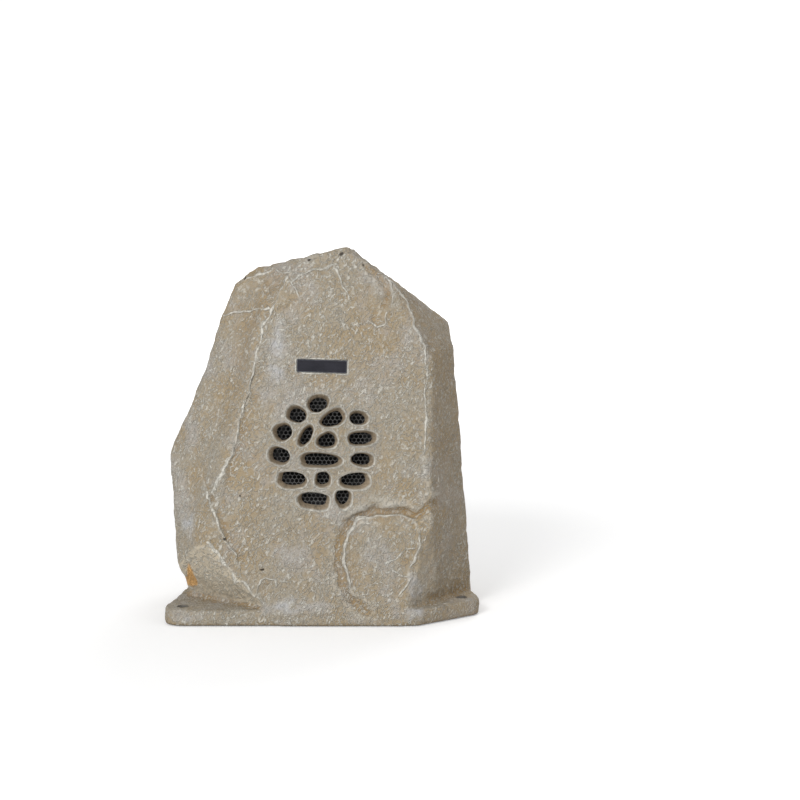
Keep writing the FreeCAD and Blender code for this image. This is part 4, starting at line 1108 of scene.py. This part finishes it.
# %% Material: cast stone
CAST, OCHRE = (0.335, 0.297, 0.236, 1), (0.332, 0.264, 0.174, 1)
stone, tree, shader = start("cast_stone")
where = add(tree, "ShaderNodeTexCoord").outputs["Object"]
mask = {name: add(tree, "ShaderNodeAttribute", attribute_name=name).outputs["Fac"]
        for name in (*MASKS, "bore", "dark")}
marks = use(tree, worms, {"Size": 0.0043, "Width": 0.070, "Cover": 0.95})
clouds = cloud(tree, where, 16.0, 4.0, 0.6)
blots = cloud(tree, where, 70.0, 5.0, 0.68)
veil = cloud(tree, where, 24.0, 3.0, 0.6, output="Color")
veil = add(tree, "ShaderNodeSeparateColor", {"Color": veil}).outputs[1]
rub = ramp(tree, blots, 0.36, 0.56)
colour = tint(tree, ramp(tree, clouds, 0.44, 0.60), CAST, OCHRE)
WASHES = (
    (ramp(tree, veil, 0.5, 0.66), 0.7, (0.385, 0.365, 0.345, 1)),
    (ramp(tree, marks["Grain"], 0.45, 0.68), 0.5, (0.225, 0.165, 0.090, 1)),
    # painted shade: the right side is tinted brown
    (mask["right_shade_and_sparse_paint"], 0.4, (0.285, 0.205, 0.120, 1)),
    # ochre wash in the hollows, with painted shade at the foot, under the ledge and brow, and in the left
    # valley
    (times(tree, mask["hollow"], ramp(tree, blots, 0.25, 0.55)), 0.6, (0.290, 0.190, 0.085, 1)),
    # painted bounce light: the left overhang and the right shoulder are tinted paler
    (mask["bounce"], 0.8, (0.560, 0.490, 0.375, 1)),
    (times(tree, mask["smear"], rub), 0.65, (0.470, 0.480, 0.500, 1)),
)
for amount, strength, wash in WASHES:
    colour = tint(tree, times(tree, amount, strength), colour, wash)
print("cast and washes", len(tree.nodes), "nodes")

# %% Pale paint on crests, strokes and lines
PALE_PAINT = (0.650, 0.635, 0.575, 1)
pale = times(tree, times(tree, mask["crest"], rub), 0.55)
dry = times(tree, marks["Mask"], math_node(tree, "SUBTRACT", 0.8, times(tree, mask["right_shade_and_sparse_paint"], 0.1)))
pale = math_node(tree, "MAXIMUM", pale, dry)
wander = times(tree, math_node(tree, "SUBTRACT", blots, 0.47), 0.45)
drawn = times(tree, ramp(tree, math_node(tree, "ADD", mask["line"], wander), 0.14, 0.05), 0.8)
pale = math_node(tree, "MAXIMUM", pale, drawn)
colour = tint(tree, pale, colour, PALE_PAINT)
print("pale paint", len(tree.nodes), "nodes")

# %% Painted shade in bores, pits and holes, the chip and the bump
# Painted shade: warm brown inside the openings, near-black in pits, lug holes and along the bottom edge; the
# bare chip is the resin's own orange.
BORE_SHADE, PIT_SHADE, BARE_CHIP = (0.320, 0.230, 0.134, 1), (0.035, 0.028, 0.022, 1), (0.680, 0.400, 0.160, 1)
ROUGH_BARE, ROUGH_PAINTED, STONE_BUMP = 0.88, 0.70, 0.0012
# painted shade inside the openings
colour = tint(tree, times(tree, mask["bore"], 0.78), colour, BORE_SHADE)
cells = add(tree, "ShaderNodeTexVoronoi", {"Vector": where, "Scale": 34.0, "Randomness": 1.0}).outputs
chance = add(tree, "ShaderNodeSeparateColor", {"Color": cells["Color"]}).outputs[0]
rare = math_node(tree, "GREATER_THAN", chance, 0.88)
pit = times(tree, rare, math_node(tree, "LESS_THAN", cells["Distance"], 0.04))
pit = math_node(tree, "MAXIMUM", pit, mask["dark"])
pit = math_node(tree, "MAXIMUM", pit, ramp(tree, mask["pit"], 0.45, 0.8))
# painted shade: pits, lug holes and the bottom edge turn near-black
colour = tint(tree, times(tree, pit, 0.8), colour, PIT_SHADE)
colour = tint(tree, mask["chip"], colour, BARE_CHIP)
height = math_node(tree, "ADD", marks["Mask"], times(tree, marks["Grain"], 0.6))
height = math_node(tree, "SUBTRACT", height, times(tree, pit, 1.5))
height = math_node(tree, "ADD", height, math_node(tree, "ADD", times(tree, blots, 1.6), drawn))
surface(tree, shader, colour, ramp(tree, pale, 0.0, 1.0, ROUGH_BARE, ROUGH_PAINTED), height, 1.0, STONE_BUMP)
shader.inputs["Specular IOR Level"].default_value = 0.3
dress(rock, stone)
print("material", stone.name)

# %% [markdown]
# ## Fine texture for the other finishes
# Paint, rubber, foam, paper, cloth, plastic and metal all need a little life: an uneven roughness and a fine
# bump. One group gives both, and a darkening in blotches, from a size, two colours and two roughnesses. Each
# finish places it with its own values.

# %% Group: fine texture
fine_texture, given, result = new_group(
    "Fine texture",
    [("Size", "Float", 0.001), ("Stretch", "Vector", (1, 1, 1)), ("Dark", "Color", (0, 0, 0, 1)),
     ("Light", "Color", (1, 1, 1, 1)), ("Rough Low", "Float", 0.4), ("Rough High", "Float", 0.6)],
    [("Color", "Color"), ("Roughness", "Float"), ("Height", "Float")],
)
where = add(fine_texture, "ShaderNodeTexCoord").outputs["Object"]
pull = add(fine_texture, "ShaderNodeVectorMath", {0: where, 1: given["Stretch"]}, operation="MULTIPLY")
scale = math_node(fine_texture, "DIVIDE", 1.0, given["Size"])
small = cloud(fine_texture, pull.outputs[0], scale, 3.0)
large = cloud(fine_texture, where, times(fine_texture, scale, 0.08), 3.0)
both = math_node(fine_texture, "ADD", times(fine_texture, small, 0.5), times(fine_texture, large, 0.5))
share = ramp(fine_texture, both, 0.3, 0.7)
rough = ramp(fine_texture, share, 0.0, 1.0, given["Rough Low"], given["Rough High"])
fine_texture.links.new(tint(fine_texture, share, given["Dark"], given["Light"]), result["Color"])
fine_texture.links.new(rough, result["Roughness"])
fine_texture.links.new(small, result["Height"])
print("group", fine_texture.name)


# %% A finish from the fine texture
def textured(tree, dark, light, rough, size, stretch=(1, 1, 1)):
    values = {"Size": size, "Stretch": stretch, "Dark": (*dark, 1), "Light": (*light, 1)}
    return use(tree, fine_texture, {**values, "Rough Low": rough[0], "Rough High": rough[1]})


def finish(name, dark, light, rough, size, bump_depth, metallic=0.0, stretch=(1, 1, 1), sheen=0.0, shine=0.5):
    material, tree, shader = start(name)
    made = textured(tree, dark, light, rough, size, stretch)
    surface(tree, shader, made["Color"], made["Roughness"], made["Height"], 0.6, bump_depth)
    shader.inputs["Metallic"].default_value = metallic
    shader.inputs["Sheen Weight"].default_value = sheen
    shader.inputs["Specular IOR Level"].default_value = shine
    print("finish", name)
    return material


# %% [markdown]
# ## Finishes of the fittings
# Powder coat for the basket and black enamel for the sheet, zinc for screws and plates, rubber, foam, pulp
# paper, cotton, ferrite, plastics, phenolic board, brass, foil and tin. The board stretches the noise along
# its fibres.

# %% Materials of the fittings
powder = finish("powder_coat", (0.016, 0.016, 0.016), (0.050, 0.050, 0.048), (0.32, 0.5), 0.0012, 0.0001)
enamel = finish("sheet_enamel", (0.030, 0.030, 0.030), (0.125, 0.125, 0.122), (0.20, 0.40), 0.006, 0.0001)
zinc = finish("zinc_plate", (0.44, 0.44, 0.42), (0.66, 0.66, 0.64), (0.28, 0.45), 0.002, 0.00003, 1.0)
rubber = finish("moulded_rubber", (0.007, 0.007, 0.007), (0.016, 0.016, 0.016), (0.55, 0.75), 0.0015, 0.00008,
                shine=0.3)
foam = finish("cell_foam", (0.006, 0.006, 0.006), (0.018, 0.018, 0.018), (0.8, 0.95), 0.0011, 0.0004,
              shine=0.2)
pulp = finish("pulp_paper", (0.005, 0.005, 0.005), (0.014, 0.013, 0.012), (0.75, 0.92), 0.0022, 0.00025,
              shine=0.2)
cotton = finish("stiffened_cotton", (0.40, 0.25, 0.08), (0.62, 0.42, 0.17), (0.7, 0.9), 0.0008, 0.0003,
                sheen=0.2)
ferrite = finish("ferrite", (0.030, 0.030, 0.034), (0.075, 0.075, 0.080), (0.45, 0.65), 0.0015, 0.00006)
phenolic = finish("phenolic_board", (0.20, 0.09, 0.035), (0.34, 0.17, 0.07), (0.45, 0.6), 0.002, 0.00004,
                  stretch=(1, 8, 8))
plastic = finish("textured_plastic", (0.022, 0.022, 0.022), (0.050, 0.050, 0.050), (0.5, 0.68), 0.0013,
                 0.00022)
nylon = finish("natural_nylon", (0.58, 0.56, 0.48), (0.74, 0.72, 0.65), (0.4, 0.55), 0.004, 0.00004)
brass = finish("turned_brass", (0.52, 0.36, 0.13), (0.74, 0.55, 0.24), (0.22, 0.38), 0.002, 0.00002, 1.0)
foil = finish("aluminium_foil", (0.60, 0.60, 0.61), (0.80, 0.80, 0.81), (0.25, 0.4), 0.002, 0.00002, 1.0)
tin = finish("tinned_tag", (0.52, 0.52, 0.50), (0.72, 0.72, 0.70), (0.25, 0.42), 0.002, 0.00002, 1.0)
sleeve = finish("lead_sleeve", (0.020, 0.020, 0.020), (0.045, 0.045, 0.045), (0.42, 0.55), 0.003, 0.00003)
charcoal = finish("plate_charcoal", (0.010, 0.010, 0.014), (0.022, 0.022, 0.030), (0.3, 0.45), 0.0015,
                  0.00003, shine=0.2)
bright = finish("plate_edge", (0.060, 0.060, 0.072), (0.110, 0.110, 0.126), (0.25, 0.4), 0.002, 0.00002)

# %% [markdown]
# ## Layers and turns
# The transformer's core is a stack of thin sheets, and both windings are rows of copper wire. A band pattern
# along one axis gives the edges of sheets and the crowns of wires, as colour and as bump. The darker colour
# between the bands is the dark joint between sheets, and painted shade in the grooves between wires.


# %% Materials with bands
def banded(name, axis, pitch, dark, light, rough, depth, metallic):
    material, tree, shader = start(name)
    where = add(tree, "ShaderNodeTexCoord").outputs["Object"]
    place = add(tree, "ShaderNodeSeparateXYZ", {"Vector": where}).outputs[axis]
    phase = times(tree, place, math.pi / pitch)
    crown = math_node(tree, "ABSOLUTE", math_node(tree, "SINE", phase, 0.0))
    made = textured(tree, dark, light, rough, 0.0015)
    # darker between bands: dark joints between sheets, painted shade in the grooves between wires
    between = (*[c * 0.3 for c in dark], 1)
    colour = tint(tree, ramp(tree, crown, 0.0, 0.45), between, made["Color"])
    surface(tree, shader, colour, made["Roughness"], crown, 0.8, depth)
    shader.inputs["Metallic"].default_value = metallic
    print("bands", name)
    return material


sheets = banded("core_sheets", "Y", 0.0005, (0.10, 0.10, 0.11), (0.24, 0.24, 0.25), (0.4, 0.55), 0.0001, 0.6)
COPPER = (0.36, 0.13, 0.05), (0.62, 0.26, 0.11), (0.25, 0.4)
wires = banded("copper_wires", "Z", 0.0006, *COPPER, 0.0002, 0.9)
coil_wires = banded("coil_wires", "Y", 0.0003, *COPPER, 0.0001, 0.9)

# %% Put the finishes on
FINISHES = {
    powder: ["driver_basket"],
    enamel: [sheet],
    zinc: [base_screws, strap_screws, driver_screws,
           "magnet_top_plate", "magnet_pole_plate", "transformer_strap"],
    rubber: [surround, "cable_grommet"],
    foam: ["driver_gasket", "base_gasket"],
    pulp: ["driver_cone", "driver_dust_cap"],
    cotton: [spider],
    ferrite: ["magnet_ring"],
    phenolic: ["driver_tag_board"],
    plastic: ["base_plate"],
    nylon: ["transformer_bobbin", "terminal_block"],
    brass: ["terminal_inserts"],
    foil: ["coil_former"],
    tin: ["driver_tags"],
    sleeve: ["driver_lead"],
    charcoal: [plate],
    bright: [plate_frame],
    sheets: ["transformer_core"],
    wires: ["transformer_winding"],
    coil_wires: ["coil_winding"],
}
for material, pieces in FINISHES.items():
    for piece in pieces:
        dress(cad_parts[piece] if isinstance(piece, str) else piece, material)
print("finishes", len(FINISHES))

# %% [markdown]
# ## Floor and light
# The studio is plain: a pale floor that runs out of view, a broad soft key from the upper left, weaker lamps
# low down, on the right and behind, and an even sky. The camera sees the floor as white: it glows a little of
# itself, more so far away, where the lamps hardly reach. Round the rock it glows least, and keeps the shadow.

# %% Floor
GLOW_NEAR, GLOW_FAR = 0.28, 0.66
NEAR, FAR = 0.5, 2.5
FLOOR_REACH, FLOOR_DOWN = 30, 0.0005
bm = bmesh.new()
bmesh.ops.create_grid(bm, x_segments=1, y_segments=1, size=FLOOR_REACH)
floor = from_bmesh("floor", bm)
floor.location.z = -FLOOR_DOWN
paper, tree, shader = start("floor_white")
shader.inputs["Base Color"].default_value = (0.8, 0.8, 0.8, 1)
shader.inputs["Roughness"].default_value = 0.9
rays = add(tree, "ShaderNodeLightPath").outputs
mirrored = math_node(tree, "MAXIMUM", rays["Is Glossy Ray"], rays["Is Transmission Ray"])
shown = math_node(tree, "MAXIMUM", rays["Is Camera Ray"], mirrored)
where = add(tree, "ShaderNodeTexCoord").outputs["Object"]
far = add(tree, "ShaderNodeVectorMath", {0: where}, operation="LENGTH").outputs["Value"]
glow = ramp(tree, far, NEAR, FAR, GLOW_NEAR, GLOW_FAR)
shader.inputs["Emission Color"].default_value = (1, 1, 1, 1)
tree.links.new(times(tree, shown, glow), shader.inputs["Emission Strength"])
dress(floor, paper)
print("floor", paper.name)

# %% Lamps and sky
LAMP_TARGET = Vector((0, 0, 0.2))
SKY_STRENGTH = 0.5


def soft_lamp(name, place, size, power):
    data = bpy.data.lights.new(name, "AREA")
    data.shape = "DISK"
    data.size = size
    data.energy = power
    lamp = bpy.data.objects.new(name, data)
    lamp.location = place
    lamp.rotation_euler = (LAMP_TARGET - Vector(place)).to_track_quat("-Z", "Y").to_euler()
    bpy.context.scene.collection.objects.link(lamp)


soft_lamp("key", (-1.25, -3.1, 2.3), 1.5, 84)
soft_lamp("fill", (2.6, -2.2, 1.2), 2.0, 9)
soft_lamp("back", (1.2, 2.9, 1.9), 2.0, 45)
soft_lamp("low", (-1.9, -2.4, 0.35), 1.2, 13)
world = bpy.data.worlds.new("sky")
bpy.context.scene.world = world
world.use_nodes = True
sky = world.node_tree.nodes["Background"]
sky.inputs["Color"].default_value = (1, 1, 1, 1)
sky.inputs["Strength"].default_value = SKY_STRENGTH
bpy.context.scene.view_settings.view_transform = "Standard"
print("studio ready")
